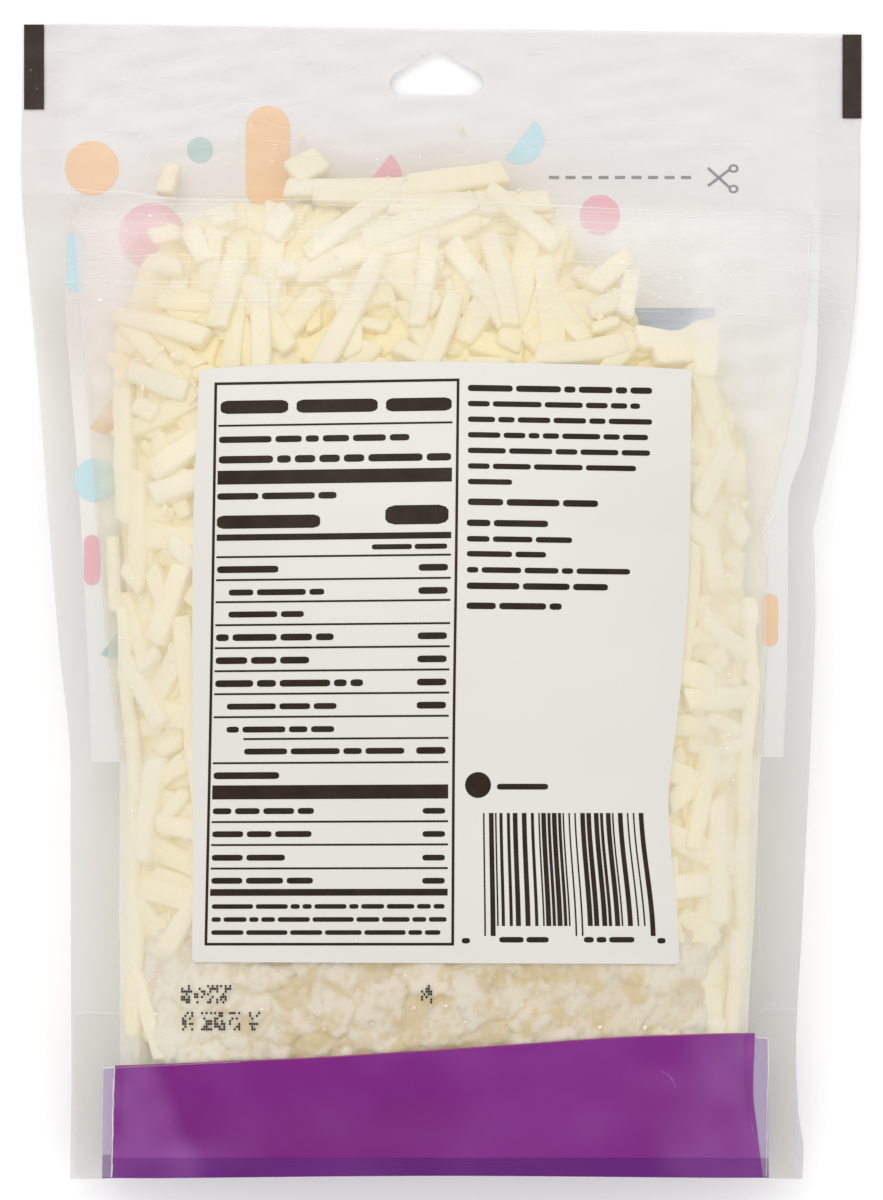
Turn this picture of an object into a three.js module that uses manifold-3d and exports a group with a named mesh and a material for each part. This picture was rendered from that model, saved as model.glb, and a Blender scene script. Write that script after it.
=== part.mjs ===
// A clear resealable pouch of grated cheese. It lies on its front, back label up.
// Millimetres. X across the pouch, Y along it with the zip end at +Y, Z up from the floor.
// s is the distance from the bottom edge of the pouch, and t the share of the way from the
// crown of the filling (0) to the inner line of a side seal (1).
import * as THREE from "three";
import { mergeVertices } from "three/addons/utils/BufferGeometryUtils.js";
import Module from "manifold-3d";

const LENGTH = 216; // bottom edge to top edge
const WIDTH = 157.8; // across the flat header
const SIDE_SEAL = 9.2; // width of the sealed strip down each side
const SHEET = 0.8; // thickness of the header and of the side seals
const TOP_SLANT = 2; // the top edge is this much lower at the right corner
const SHRED = { width: 4.5, thick: 2.9, shortest: 11, longest: 27 };
const SINK = 1.8; // how far the core lies below the film where shreds show
const ZIP = { rows: [171.5, 179.5], width: 2.4, rise: 0.7 };
const HANG_HOLE = { width: 17.6, height: 8.4, corner: 2.3, bottom: 202.5, x: -0.9 };
const LABEL = { left: -45, right: 46, bottom: 41, top: 154 }; // printed, no shreds stand there
const END_RECESS = 5; // the bottom gusset lies this far inside the two bottom edges

// Stations along the pouch: [s, value].
const LEFT_EDGE = [[0, -69.3], [20, -68.8], [76, -68.8], [100, -71.1], [143, -74.8],
  [171, -77.5], [190, -78.9], [216, -78.3]];
const RIGHT_EDGE = [[0, 67.3], [5, 67.5], [13, 66.4], [24, 65.9], [47, 66.9], [70, 67.9],
  [92, 69.0], [105, 69.5], [116, 69.4], [120.5, 69.1], [123, 69.6], [132, 71.7],
  [143, 74.3], [156, 76.6], [171, 78.0], [190, 78.6], [216, 78.9]];
const CROWN = [[0, 18], [4, 21], [18, 31], [38, 37.5], [60, 40], [82, 40], [104, 38.5],
  [124, 35], [143, 28], [158, 20.5], [170, 15], [182, 10.5], [192, 6], [200, 2.6], [216, 2.6]];
const SEAL_HEIGHT = [[0, 8], [20, 11.5], [50, 14.5], [90, 14], [115, 12], [135, 9], [160, 5],
  [180, 2.4], [200, 1.6], [216, 2.2]];
const CROWN_SHIFT = [[0, 0], [125, 0], [155, -9], [185, -16], [216, -16]];

// A smooth curve through stations that never swings past them.
function through(stations, s) {
  const n = stations.length;
  const slope = (i) => (stations[i + 1][1] - stations[i][1]) / (stations[i + 1][0] - stations[i][0]);
  const bend = (i) => {
    if (i === 0) return slope(0);
    if (i === n - 1) return slope(n - 2);
    const [a, b] = [slope(i - 1), slope(i)];
    return a * b <= 0 ? 0 : (2 * a * b) / (a + b);
  };
  if (s <= stations[0][0]) return stations[0][1];
  if (s >= stations[n - 1][0]) return stations[n - 1][1];
  let i = 0;
  while (s > stations[i + 1][0]) i += 1;
  const span = stations[i + 1][0] - stations[i][0];
  const u = (s - stations[i][0]) / span;
  return (1 + 2 * u) * (1 - u) ** 2 * stations[i][1] + u * (1 - u) ** 2 * span * bend(i)
    + u * u * (3 - 2 * u) * stations[i + 1][1] + u * u * (u - 1) * span * bend(i + 1);
}

const smooth = (low, high, x) => {
  const u = Math.min(1, Math.max(0, (x - low) / (high - low)));
  return u * u * (3 - 2 * u);
};

// Everything the surfaces need to know at distance s.
function section(s) {
  const left = through(LEFT_EDGE, s) + SIDE_SEAL;
  const right = through(RIGHT_EDGE, s) - SIDE_SEAL;
  return {
    left, right,
    mid: (left + right) / 2 + through(CROWN_SHIFT, s),
    crown: through(CROWN, s),
    seal: through(SEAL_HEIGHT, s),
  };
}

// The share of the way to the seal line, and how far past it a point is.
function across(x, { left, right, mid }) {
  const half = x < mid ? mid - left : right - mid;
  const t = Math.abs(x - mid) / half;
  return { t: Math.min(t, 1), past: Math.max(0, t - 1) * half };
}

// Height of the middle of the sealed strips, which droop a little outwards.
function stripHeight(s, past, seal) {
  return Math.max(SHEET / 2, seal - 0.16 * past + 0.5 * Math.sin(s / 9) * (past / SIDE_SEAL));
}

function zipRise(s, t) {
  const near = Math.min(...ZIP.rows.map((row) => Math.abs(s - row)));
  return near < ZIP.width / 2 && t < 0.999 ? ZIP.rise : 0;
}

function filmTop(x, s) {
  const here = section(s);
  const { t, past } = across(x, here);
  if (past > 0) return stripHeight(s, past, here.seal) + SHEET / 2;
  const low = here.seal + SHEET / 2;
  const high = Math.max(here.crown, low);
  return low + (high - low) * (1 - t ** 2.5) ** 0.8;
}

function filmUnder(x, s) {
  const here = section(s);
  const { t, past } = across(x, here);
  if (past > 0) return stripHeight(s, past, here.seal) - SHEET / 2;
  const lift = Math.max(0, (t - 0.45) / 0.55) ** 2;
  const belly = smooth(182, 200, s) * (here.seal - SHEET / 2);
  return belly + (here.seal - SHEET / 2 - belly) * lift;
}

// Shreds show where the film is clear: round the label, below the header.
function clear(x, s) {
  const { t, past } = across(x, section(s));
  const offLabel = x < LABEL.left || x > LABEL.right || s < LABEL.bottom || s > LABEL.top;
  return past === 0 && t < 0.95 && s > 20 && s < 169 && offLabel;
}

function coreTop(x, s) {
  const { t } = across(x, section(s));
  const beyond = Math.max(x - LABEL.right, LABEL.left - x, s - LABEL.top, LABEL.bottom - s);
  const shown = smooth(-2, 3, beyond) * smooth(17, 23, s) * (1 - smooth(163, 170, s));
  return filmTop(x, s) - SINK * shown * (1 - smooth(0.9, 0.99, t)) + zipRise(s, t);
}

const toY = (s, x) => s - LENGTH / 2 - TOP_SLANT * smooth(150, LENGTH, s) * (x / WIDTH + 0.5);

// Rows along the pouch, with extra ones at the flanks of the zip.
function rowStations() {
  const rows = [];
  for (let i = 0; i <= 34; i += 1) rows.push((i / 34) * LENGTH);
  const nearZip = (s) => ZIP.rows.some((row) => Math.abs(s - row) < ZIP.width);
  const flanks = ZIP.rows.flatMap((row) => [-0.62, -0.4, 0.4, 0.62].map((k) => row + k * ZIP.width));
  return [...rows.filter((s) => !nearZip(s)), ...flanks, 1.2].sort((a, b) => a - b);
}

// Columns across the pouch at distance s, from outer edge to outer edge.
function columnPlaces(s) {
  const { left, right, mid } = section(s);
  const shares = [1, 0.965, 0.9, 0.8, 0.68, 0.54, 0.38, 0.2];
  return [left - SIDE_SEAL, left - SIDE_SEAL / 2,
    ...shares.map((t) => mid - t * (mid - left)), mid,
    ...shares.map((t) => mid + t * (right - mid)).reverse(),
    right + SIDE_SEAL / 2, right + SIDE_SEAL];
}

// The end wall's stations from the top film (0) to the under film (1), set in between them.
const WALL = [0.07, 0.13, 0.5, 0.87, 0.93];
const wallDepth = (w, height) => END_RECESS * (1 - Math.abs(2 * w - 1) ** 9) * smooth(2, 9, height);

// The filled pouch as one closed grid: top film, under film, and a wall all round.
function pouchGeometry() {
  const rows = rowStations();
  const places = rows.map(columnPlaces);
  const width = places[0].length;
  const points = [];
  const sheet = (height) => rows.map((s, i) => places[i].map((x) => {
    points.push([x, toY(s, x), height(x, s)]);
    return points.length - 1;
  }));
  const top = sheet(coreTop);
  const under = sheet(filmUnder);
  const wall = WALL.map((w) => places[0].map((x) => {
    const [high, low] = [coreTop(x, 0), filmUnder(x, 0)];
    points.push([x, toY(wallDepth(w, high - low), x), high + (low - high) * w]);
    return points.length - 1;
  }));
  const faces = [];
  const quad = (a, b, c, d) => faces.push([a, b, c], [a, c, d]);
  for (let i = 0; i + 1 < rows.length; i += 1) {
    for (let j = 0; j + 1 < width; j += 1) {
      quad(top[i][j], top[i][j + 1], top[i + 1][j + 1], top[i + 1][j]);
      quad(under[i][j + 1], under[i][j], under[i + 1][j], under[i + 1][j + 1]);
    }
    quad(under[i][0], top[i][0], top[i + 1][0], under[i + 1][0]);
    quad(top[i][width - 1], under[i][width - 1], under[i + 1][width - 1], top[i + 1][width - 1]);
  }
  const last = rows.length - 1;
  const end = [top[0], ...wall, under[0]];
  for (let j = 0; j + 1 < width; j += 1) {
    quad(top[last][j], top[last][j + 1], under[last][j + 1], under[last][j]);
    for (let k = 0; k + 1 < end.length; k += 1) {
      quad(end[k][j + 1], end[k][j], end[k + 1][j], end[k + 1][j + 1]);
    }
  }
  for (const j of [0, width - 1]) {
    const fan = j === 0 ? end.map((row) => row[j]).reverse() : end.map((row) => row[j]);
    for (let k = 1; k + 1 < fan.length; k += 1) faces.push([fan[0], fan[k], fan[k + 1]]);
  }
  return closedGeometry(points, faces);
}

function closedGeometry(points, faces) {
  const geometry = new THREE.BufferGeometry();
  geometry.setAttribute("position", new THREE.Float32BufferAttribute(points.flat(), 3));
  geometry.setIndex(faces.flat());
  return geometry;
}

// A repeatable draw between 0 and 1.
function seeded(seed) {
  let state = seed;
  return () => {
    state = (state * 1664525 + 1013904223) % 4294967296;
    return state / 4294967296;
  };
}

// One shred: a box with square ends that lies along the film, its top just under it.
function shredGeometry(x, s, turn, length, draw) {
  const step = 3;
  const rise = (dx, ds) => filmTop(x + dx, s + ds) - filmTop(x - dx, s - ds);
  const normal = new THREE.Vector3(-rise(step, 0), -rise(0, step), 2 * step).normalize();
  const along = new THREE.Vector3(Math.cos(turn), Math.sin(turn), 0);
  along.addScaledVector(normal, -along.dot(normal)).normalize();
  const side = new THREE.Vector3().crossVectors(normal, along);
  const width = SHRED.width * (0.85 + 0.3 * draw());
  const geometry = new THREE.BoxGeometry(length, width, SHRED.thick);
  geometry.applyMatrix4(new THREE.Matrix4().makeBasis(along, side, normal));
  const place = new THREE.Vector3(x, toY(s, x), filmTop(x, s));
  place.addScaledVector(normal, -SHRED.thick / 2 - 0.15 - 0.5 * draw());
  return geometry.translate(place.x, place.y, place.z);
}

// Shreds thrown over the clear film, none too near the last ones.
function shreds(count) {
  const draw = seeded(20);
  const placed = [];
  const made = [];
  for (let tries = 0; tries < 9000 && made.length < count; tries += 1) {
    const [x, s] = [-62 + 124 * draw(), 22 + 148 * draw()];
    const length = SHRED.shortest + (SHRED.longest - SHRED.shortest) * draw() ** 1.3;
    const turn = Math.PI * draw();
    const [dx, ds] = [(Math.cos(turn) * length) / 2, (Math.sin(turn) * length) / 2];
    const inside = clear(x, s) && clear(x + dx, s + ds) && clear(x - dx, s - ds);
    if (!inside || placed.some(([a, b]) => Math.hypot(a - x, b - s) < 5.2)) continue;
    placed.push([x, s]);
    made.push(shredGeometry(x, s, turn, length, draw));
  }
  return made;
}

// The hang hole: a rounded triangle with its point towards the top edge.
function hangHoleGeometry() {
  const { width, height, corner, bottom, x } = HANG_HOLE;
  const [half, y] = [width / 2 - corner, bottom - LENGTH / 2 + corner];
  const corners = [[x + half, y], [x, y + height - 2 * corner], [x - half, y]];
  const shape = new THREE.Shape();
  const heading = corners.map(([ax, ay], i) => {
    const [bx, by] = corners[(i + 1) % 3];
    return Math.atan2(by - ay, bx - ax) - Math.PI / 2;
  });
  corners.forEach(([cx, cy], i) => {
    const [from, to] = [heading[(i + 2) % 3], heading[i]];
    const turn = ((to - from) % (2 * Math.PI) + 2 * Math.PI) % (2 * Math.PI);
    for (let k = 0; k <= 4; k += 1) {
      const angle = from + (turn * k) / 4;
      const [px, py] = [cx + corner * Math.cos(angle), cy + corner * Math.sin(angle)];
      if (i === 0 && k === 0) shape.moveTo(px, py);
      else shape.lineTo(px, py);
    }
  });
  const geometry = new THREE.ExtrudeGeometry(shape, { depth: 20, bevelEnabled: false });
  return geometry.translate(0, 0, -5);
}

const wasm = await Module();
wasm.setup();

function solid(source) {
  const bare = source.clone();
  bare.deleteAttribute("normal");
  bare.deleteAttribute("uv");
  const geometry = mergeVertices(bare, 1e-4);
  return new wasm.Manifold(new wasm.Mesh({
    numProp: 3,
    vertProperties: new Float32Array(geometry.attributes.position.array),
    triVerts: new Uint32Array(geometry.index.array),
  }));
}

function fromSolid(manifold) {
  const { vertProperties, triVerts } = manifold.getMesh();
  const geometry = new THREE.BufferGeometry();
  geometry.setAttribute("position", new THREE.BufferAttribute(vertProperties, 3));
  geometry.setIndex(new THREE.BufferAttribute(triVerts, 1));
  return geometry;
}

const filled = wasm.Manifold.union([solid(pouchGeometry()), ...shreds(150).map(solid)]);
const pouch = filled.subtract(solid(hangHoleGeometry())).simplify(0.02);

const group = new THREE.Group();
const mesh = new THREE.Mesh(fromSolid(pouch),
  new THREE.MeshStandardMaterial({ color: 0xeae0c6, roughness: 0.35, metalness: 0 }));
mesh.name = "pouch";
group.add(mesh);

export default group;
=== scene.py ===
import math

import bpy
import numpy as np
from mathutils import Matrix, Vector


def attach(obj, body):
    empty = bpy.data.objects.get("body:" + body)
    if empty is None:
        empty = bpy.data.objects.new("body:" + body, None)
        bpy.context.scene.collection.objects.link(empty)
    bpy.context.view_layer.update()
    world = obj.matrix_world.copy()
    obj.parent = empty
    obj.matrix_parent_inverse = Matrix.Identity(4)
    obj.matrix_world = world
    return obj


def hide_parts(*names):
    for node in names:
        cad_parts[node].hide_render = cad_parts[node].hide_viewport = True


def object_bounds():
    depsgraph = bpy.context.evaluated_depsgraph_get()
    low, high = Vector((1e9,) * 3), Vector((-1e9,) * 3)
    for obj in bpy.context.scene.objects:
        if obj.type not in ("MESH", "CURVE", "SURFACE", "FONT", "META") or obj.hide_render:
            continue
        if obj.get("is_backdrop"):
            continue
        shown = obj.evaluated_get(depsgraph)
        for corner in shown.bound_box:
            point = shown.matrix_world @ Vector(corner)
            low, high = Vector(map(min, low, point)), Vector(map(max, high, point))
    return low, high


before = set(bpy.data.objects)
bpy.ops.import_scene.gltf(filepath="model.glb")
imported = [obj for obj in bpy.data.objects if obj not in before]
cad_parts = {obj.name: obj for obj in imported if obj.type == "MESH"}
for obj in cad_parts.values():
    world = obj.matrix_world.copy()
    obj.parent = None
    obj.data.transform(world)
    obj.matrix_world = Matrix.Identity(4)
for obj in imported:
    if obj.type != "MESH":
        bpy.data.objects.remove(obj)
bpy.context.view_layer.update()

# -------- sizes, in millimetres
# x runs across the pouch, s along it from the bottom edge to the top one, z up from the floor.
LENGTH, WIDTH, SIDE_SEAL, SHEET, TOP_SLANT = 216.0, 157.8, 9.2, 0.3, 2.0
END_BOW = 1.6  # the bottom edge draws in this much where the filling lifts it
GUSSET_SEAL, GUSSET_FOLD = 3.8, 31.0  # bottom seal, and the fold's height in the side seals
GUSSET_MID = 6.5  # how far in the fold reaches in the middle, where the filling opens it
HEADER = 184  # the flat header starts this far up
HOLE = {"width": 17.6, "height": 8.4, "corner": 2.3, "bottom": 202.5, "x": -0.9}
SHRED_WIDE, SHRED_THICK, SHRED_LONG = (3.7, 5.0), (2.3, 3.4), (11.0, 29.0)
SHRED_RINGS, SHRED_SIDES = 8, 12  # stations along a shred, and corners round it
EYE, PX = 1150.0, 5.33  # camera height, and photo pixels to a millimetre on the floor
PICTURE = (883, 1200)  # size of the picture in whose pixels the print is placed
MID_X, MID_Y = PICTURE[0] / 2, PICTURE[1] / 2

# Stations along the pouch: the sides' x, the heights of the back film's crown and of the side seals, and
# how far the crown lies off the middle.
LEFT_EDGE = [[0, -69.3], [20, -68.8], [76, -68.8], [100, -71.1], [143, -74.8], [171, -77.5],
             [190, -78.9], [216, -78.3]]
RIGHT_EDGE = [[0, 67.3], [5, 67.5], [13, 66.4], [24, 65.9], [47, 66.9], [70, 67.9], [92, 69.0],
              [105, 69.5], [116, 69.4], [120.5, 69.1], [123, 69.6], [132, 71.7], [143, 74.3],
              [156, 76.6], [171, 78.0], [190, 78.6], [216, 78.9]]
CROWN = [[0, 18], [4, 21], [18, 31], [38, 37.5], [60, 40], [82, 40], [104, 38.5], [124, 35],
         [143, 28], [158, 20.5], [170, 15], [182, 10.5], [192, 6], [200, 2.6], [216, 2.6]]
SEAL_HEIGHT = [[0, 8], [20, 11.5], [50, 14.5], [90, 14], [115, 12], [135, 9], [160, 5],
               [180, 2.4], [200, 1.6], [216, 2.2]]
CROWN_SHIFT = [[0, 0], [125, 0], [155, -9], [185, -16], [216, -16]]
# Stations across the pouch: how far up the cheese reaches.
FILL_TOP = [[-66, 158], [-62, 163], [-59, 166], [-56, 176], [-49, 180.5], [-42, 183], [-20, 184],
            [-4, 188], [0, 190], [9, 190], [12, 186], [21, 184], [24, 178], [30, 171], [35, 168.5],
            [36.5, 166], [38.5, 157], [48, 155], [52, 151], [56, 143], [58, 128], [60, 100], [61.5, 50]]


# -------- the pouch's surfaces
def through(stations, s):
    """A smooth curve through stations that never swings past them."""
    xs, ys = np.array(stations, float).T
    d = np.diff(ys) / np.diff(xs)
    product, total = d[:-1] * d[1:], d[:-1] + d[1:]
    inner = np.where(product <= 0, 0, 2 * product / np.where(product <= 0, 1, total))
    m = np.concatenate([d[:1], inner, d[-1:]])
    s = np.clip(np.asarray(s, float), xs[0], xs[-1])
    i = np.clip(np.searchsorted(xs, s, side="right") - 1, 0, len(xs) - 2)
    h = xs[i + 1] - xs[i]
    u = (s - xs[i]) / h
    return ((1 + 2 * u) * (1 - u) ** 2 * ys[i] + u * (1 - u) ** 2 * h * m[i]
            + u * u * (3 - 2 * u) * ys[i + 1] + u * u * (u - 1) * h * m[i + 1])


def smooth(low, high, x):
    """0 at low, 1 at high and soft between; high may be the smaller of the two."""
    u = np.clip((np.asarray(x, float) - low) / (high - low), 0, 1)
    return u * u * (3 - 2 * u)


def waves(x, y, size, seed, count=14):
    """Soft bumps of about that size, between roughly -1 and 1."""
    draw = np.random.default_rng(seed)
    total = 0
    for _ in range(count):
        turn, k, phase = draw.uniform(0, 2 * np.pi), draw.uniform(0.6, 1.5), draw.uniform(0, 6.3)
        total = total + np.cos((x * np.cos(turn) + y * np.sin(turn)) * 2 * np.pi * k / size + phase)
    return total / math.sqrt(count / 2) / 1.6


def across(x, s):
    """Share of the way from the crown to the seal line, how far past it, and the seal's height."""
    left = through(LEFT_EDGE, s) + SIDE_SEAL
    right = through(RIGHT_EDGE, s) - SIDE_SEAL
    mid = (left + right) / 2 + through(CROWN_SHIFT, s)
    half = np.where(x < mid, mid - left, right - mid)
    t = np.abs(x - mid) / half
    return np.minimum(t, 1), np.maximum(0, t - 1) * half, through(SEAL_HEIGHT, s)


def strip_height(s, past, seal):
    """The side seal's height: it droops outwards in slow waves."""
    return np.maximum(SHEET / 2, seal - 0.16 * past + 0.5 * np.sin(s / 9) * past / SIDE_SEAL)


def wrinkles(x, s):
    """Cross folds of the flat header."""
    return 0.16 * waves(x, s * 2.5, 15, 8) * smooth(HEADER, HEADER + 12, s)


def drape(x, s):
    """How the back film lifts over the shreds and puckers beside the seals."""
    t, past, _ = across(x, s)
    label = smooth(-50, -44, x) * (1 - smooth(44, 50, x)) * smooth(38, 44, s) * (1 - smooth(150, 156, s))
    lumps = 0.42 * waves(x, s, 14, 3) + 0.09 * waves(x, s, 7, 4)
    lumps = lumps * (1 - 0.8 * label) * smooth(8, 30, s) * (1 - smooth(165, 190, s))
    pucker = 0.35 * np.sin(s / 1.45 + 2.2 * np.sin(s / 11)) * np.exp(-(1 - t) * 9) * smooth(0, 0.05, 1 - t)
    strip = 0.12 * np.sin(s / 2.1 + 2 * np.sin(s / 7)) * smooth(0, 2.5, past)
    dent = -0.7 * np.exp(-((x - 57) / 6) ** 2 - ((s - 122 - 0.5 * (x - 57)) / 3.5) ** 2)
    return lumps * (1 - t ** 6) + 0.8 * pucker + wrinkles(x, s) + strip + dent


def film_under(x, s):
    """Height of the front film, which the pouch lies on."""
    t, past, seal = across(x, s)
    rise = seal - SHEET / 2
    belly = smooth(182, 200, s) * rise
    body = belly + (rise - belly) * (np.maximum(0, t - 0.45) / 0.55) ** 2
    strip = strip_height(s, past, seal) - SHEET / 2
    return np.maximum(np.where(past > 0, strip, body) + wrinkles(x, s), 0.24)


def film_top(x, s):
    """Height of the back film, which carries the label."""
    t, past, seal = across(x, s)
    low = seal + SHEET / 2
    high = np.maximum(through(CROWN, s), low)
    body = low + (high - low) * (1 - t ** 2.5) ** 0.8
    plain = np.where(past > 0, strip_height(s, past, seal) + SHEET / 2, body)
    return np.maximum(plain + drape(x, s), film_under(x, s) + 0.28)


def to_y(s, x):
    bow = END_BOW * np.maximum(0, 1 - (x / 66) ** 2) * (1 - smooth(0, 30, s))
    return s - LENGTH / 2 - TOP_SLANT * smooth(150, LENGTH, s) * (x / WIDTH + 0.5) + bow


def to_s(x, y):
    s = y + LENGTH / 2
    for _ in range(6):
        s = s + (y - to_y(s, x))
    return s


def lay(px, py, height, lift=0.0):
    """Points on a surface that the camera sees at these pixels of the picture."""
    xp, yp = (np.asarray(px, float) - MID_X) / PX, (MID_Y - np.asarray(py, float)) / PX
    z = np.full(xp.shape, 15.0)
    for _ in range(10):
        k = 1 - z / EYE
        x, y = xp * k, yp * k
        z = height(x, np.clip(to_s(x, y), 0, LENGTH)) + lift
    return np.stack([x, y, z], -1)


def seen(x, s, height):
    """The picture's pixels at which the camera sees these places on a surface."""
    k = 1 - height(x, s) / EYE
    return MID_X + PX * x / k, MID_Y - PX * to_y(s, x) / k


# -------- materials
def material(name, colour, rough=0.5, alpha=1.0, vary=None, bump=None, stored=None, haze=None, **sockets):
    """A Principled material. vary: (other colour, size in mm) and, where they aren't 0.3 and 0.7,
    the noise's ends, mixes by noise; bump: (size in mm, strength) and maybe a stretch each way;
    stored: other colours that mix in by values stored on the mesh; haze: (name, other alpha)."""
    m = bpy.data.materials.new(name)
    m.use_nodes = True
    nodes, links = m.node_tree.nodes, m.node_tree.links
    shader = nodes["Principled BSDF"]
    sockets = {"Base_Color": (*colour, 1), "Roughness": rough, "Alpha": alpha, **sockets}
    for key, value in sockets.items():
        shader.inputs[key.replace("_", " ")].default_value = value
    place = nodes.new("ShaderNodeTexCoord")

    def noise(size, detail=3.0, stretch=(1, 1, 1)):
        scale = nodes.new("ShaderNodeMapping")
        scale.inputs["Scale"].default_value = stretch
        links.new(place.outputs["Object"], scale.inputs["Vector"])
        texture = nodes.new("ShaderNodeTexNoise")
        texture.inputs["Scale"].default_value = 1000 / size
        texture.inputs["Detail"].default_value = detail
        links.new(scale.outputs["Vector"], texture.inputs["Vector"])
        return texture.outputs["Fac"]

    def mixed(first, second, share):
        mix = nodes.new("ShaderNodeMix")
        mix.data_type = "RGBA"
        links.new(share, mix.inputs["Factor"])
        for socket, value in (("A", first), ("B", second)):
            target = [i for i in mix.inputs if i.name == socket and i.type == "RGBA"][0]
            if isinstance(value, tuple):
                target.default_value = (*value, 1)
            else:
                links.new(value, target)
        return [o for o in mix.outputs if o.type == "RGBA"][0]

    def kept(key):
        value = nodes.new("ShaderNodeAttribute")
        value.attribute_name = key
        return value.outputs["Fac"]

    tint = colour
    if vary:
        other, size, *ends = vary
        ramp = nodes.new("ShaderNodeMapRange")
        ramp.inputs["From Min"].default_value, ramp.inputs["From Max"].default_value = ends or (0.3, 0.7)
        links.new(noise(size), ramp.inputs["Value"])
        tint = mixed(colour, other, ramp.outputs["Result"])
    for key, other in (stored or {}).items():
        tint = mixed(tint, other, kept(key))
    if not isinstance(tint, tuple):
        links.new(tint, shader.inputs["Base Color"])
    if haze:
        milk, ramp = kept(haze[0]), nodes.new("ShaderNodeMapRange")
        ramp.inputs["To Min"].default_value, ramp.inputs["To Max"].default_value = alpha, haze[1]
        links.new(milk, ramp.inputs["Value"])
        links.new(ramp.outputs["Result"], shader.inputs["Alpha"])
    if bump:
        size, strength, *stretch = bump
        relief = nodes.new("ShaderNodeBump")
        relief.inputs["Strength"].default_value = strength
        relief.inputs["Distance"].default_value = 0.0003
        links.new(noise(size, 4.0, stretch or (1, 1, 1)), relief.inputs["Height"])
        links.new(relief.outputs["Normal"], shader.inputs["Normal"])
    return m


# The film, bare of print. Its stored values come from film_values.
FILM = material("clear_film", (0.88, 0.855, 0.76), 0.2, 0.15, bump=(5, 0.3), haze=("haze", 0.58), stored={
    "bare": (0.88, 0.852, 0.838), "rosy": (0.93, 0.842, 0.815), "lit": (1.0, 0.965, 0.88),
    "top": (0.56, 0.545, 0.53)})
# The header film: its stored colour paints light and shade on the crinkles' facets.
HEADER_FILM = material("header_film", (0.50, 0.485, 0.47), 0.3, 0.18,
                       vary=((0.61, 0.595, 0.58), 1.5, 0.38, 0.62), bump=(1.3, 0.6, 1, 1.6, 1),
                       stored={"crease": (0.72, 0.705, 0.69)})
# The sealed film: painted shade darkens it towards the bottom and more at its lower right; a warmer tint
# mixes in at the left.
SEAL = material("sealed_film", (0.60, 0.59, 0.57), 0.28, 0.205, bump=(2.4, 0.5, 1, 2, 1), stored={
    "low": (0.43, 0.415, 0.375), "warm": (0.60, 0.535, 0.45), "dusk": (0.26, 0.25, 0.225)})
ZIP = material("zip_plastic", (0.92, 0.91, 0.90), 0.25, 0.27, bump=(2, 0.3, 0.3, 3, 1))
ZIP_BASE = material("zip_flange", (0.88, 0.87, 0.86), 0.22, 0.12, bump=(4, 0.6, 0.25, 4, 1),
                    haze=("fade", 0.0))
CREASE = material("crease_light", (0.9, 0.9, 0.9), 0.3, 0.18, bump=(2, 0.2))
CRINKLE = material("crinkle_light", (0.95, 0.94, 0.93), 0.3, 0.13, bump=(2, 0.2))
SHADE = material("crinkle_shade", (0.45, 0.43, 0.42), 0.4, 0.055, bump=(2, 0.2))
GLINT = material("film_glints", (1, 1, 1), 0.25, 0.75, bump=(2, 0.2))

# The cheese. A small even glow stands for the light that wanders inside it.
SOFT = {"Emission_Color": (1, 0.86, 0.46, 1), "Emission_Strength": 0.16}
CHEESE = material("cheese", (0.745, 0.70, 0.60), 0.5, vary=((0.73, 0.675, 0.55), 9, 0.35, 0.65),
                  bump=(1.6, 0.3), stored={"shade": (0.665, 0.615, 0.495), "tone": (0.76, 0.665, 0.40)},
                  **SOFT)
CRUMB = material("crumbled_cheese", (0.735, 0.66, 0.53), 0.6, vary=((0.60, 0.49, 0.32), 3.4, 0.52, 0.72),
                 bump=(1.2, 0.4), stored={"vein": (0.65, 0.495, 0.24), "pale": (0.85, 0.80, 0.665)})
CORE = material("cheese_inside", (0.80, 0.70, 0.44), 0.6, vary=((0.77, 0.66, 0.38), 6, 0.35, 0.65),
                bump=(3, 0.8), **SOFT)

# Print on the back film.
DULL = {"Specular_IOR_Level": 0.15}
LABEL = material("label_white", (0.725, 0.705, 0.655), 0.42, vary=((0.745, 0.725, 0.68), 40),
                 bump=(2.5, 0.12), Specular_IOR_Level=0.25)
INK = material("label_ink", (0.022, 0.012, 0.006), 0.45, vary=((0.035, 0.022, 0.014), 4, 0.4, 0.8), **DULL)
CODE = material("code_ink", (0.02, 0.018, 0.015), 0.6, vary=((0.09, 0.075, 0.05), 1.5, 0.5, 0.9), **DULL)
PURPLE = material("purple_print", (0.190, 0.014, 0.200), 0.34, vary=((0.225, 0.026, 0.25), 34, 0.42, 0.72),
                  bump=(6, 0.25), stored={"glow": (0.31, 0.10, 0.36)}, **DULL)
PURPLE_DARK = material("purple_seal", (0.120, 0.011, 0.172), 0.34, vary=((0.14, 0.017, 0.2), 25, 0.4, 0.7),
                       bump=(2, 0.3, 1, 4, 1), stored={"glow": (0.24, 0.06, 0.29)}, **DULL)
RIM = material("band_rim", (0.93, 0.86, 0.93), 0.3, 0.7, bump=(2, 0.2))
RED_EDGE = material("band_edge", (0.42, 0.05, 0.16), 0.4, 0.8, vary=((0.3, 0.03, 0.2), 12, 0.4, 0.6))
MARK = material("brown_marks", (0.034, 0.022, 0.018), 0.4, vary=((0.048, 0.033, 0.028), 5),
                Specular_IOR_Level=0.2)

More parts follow.
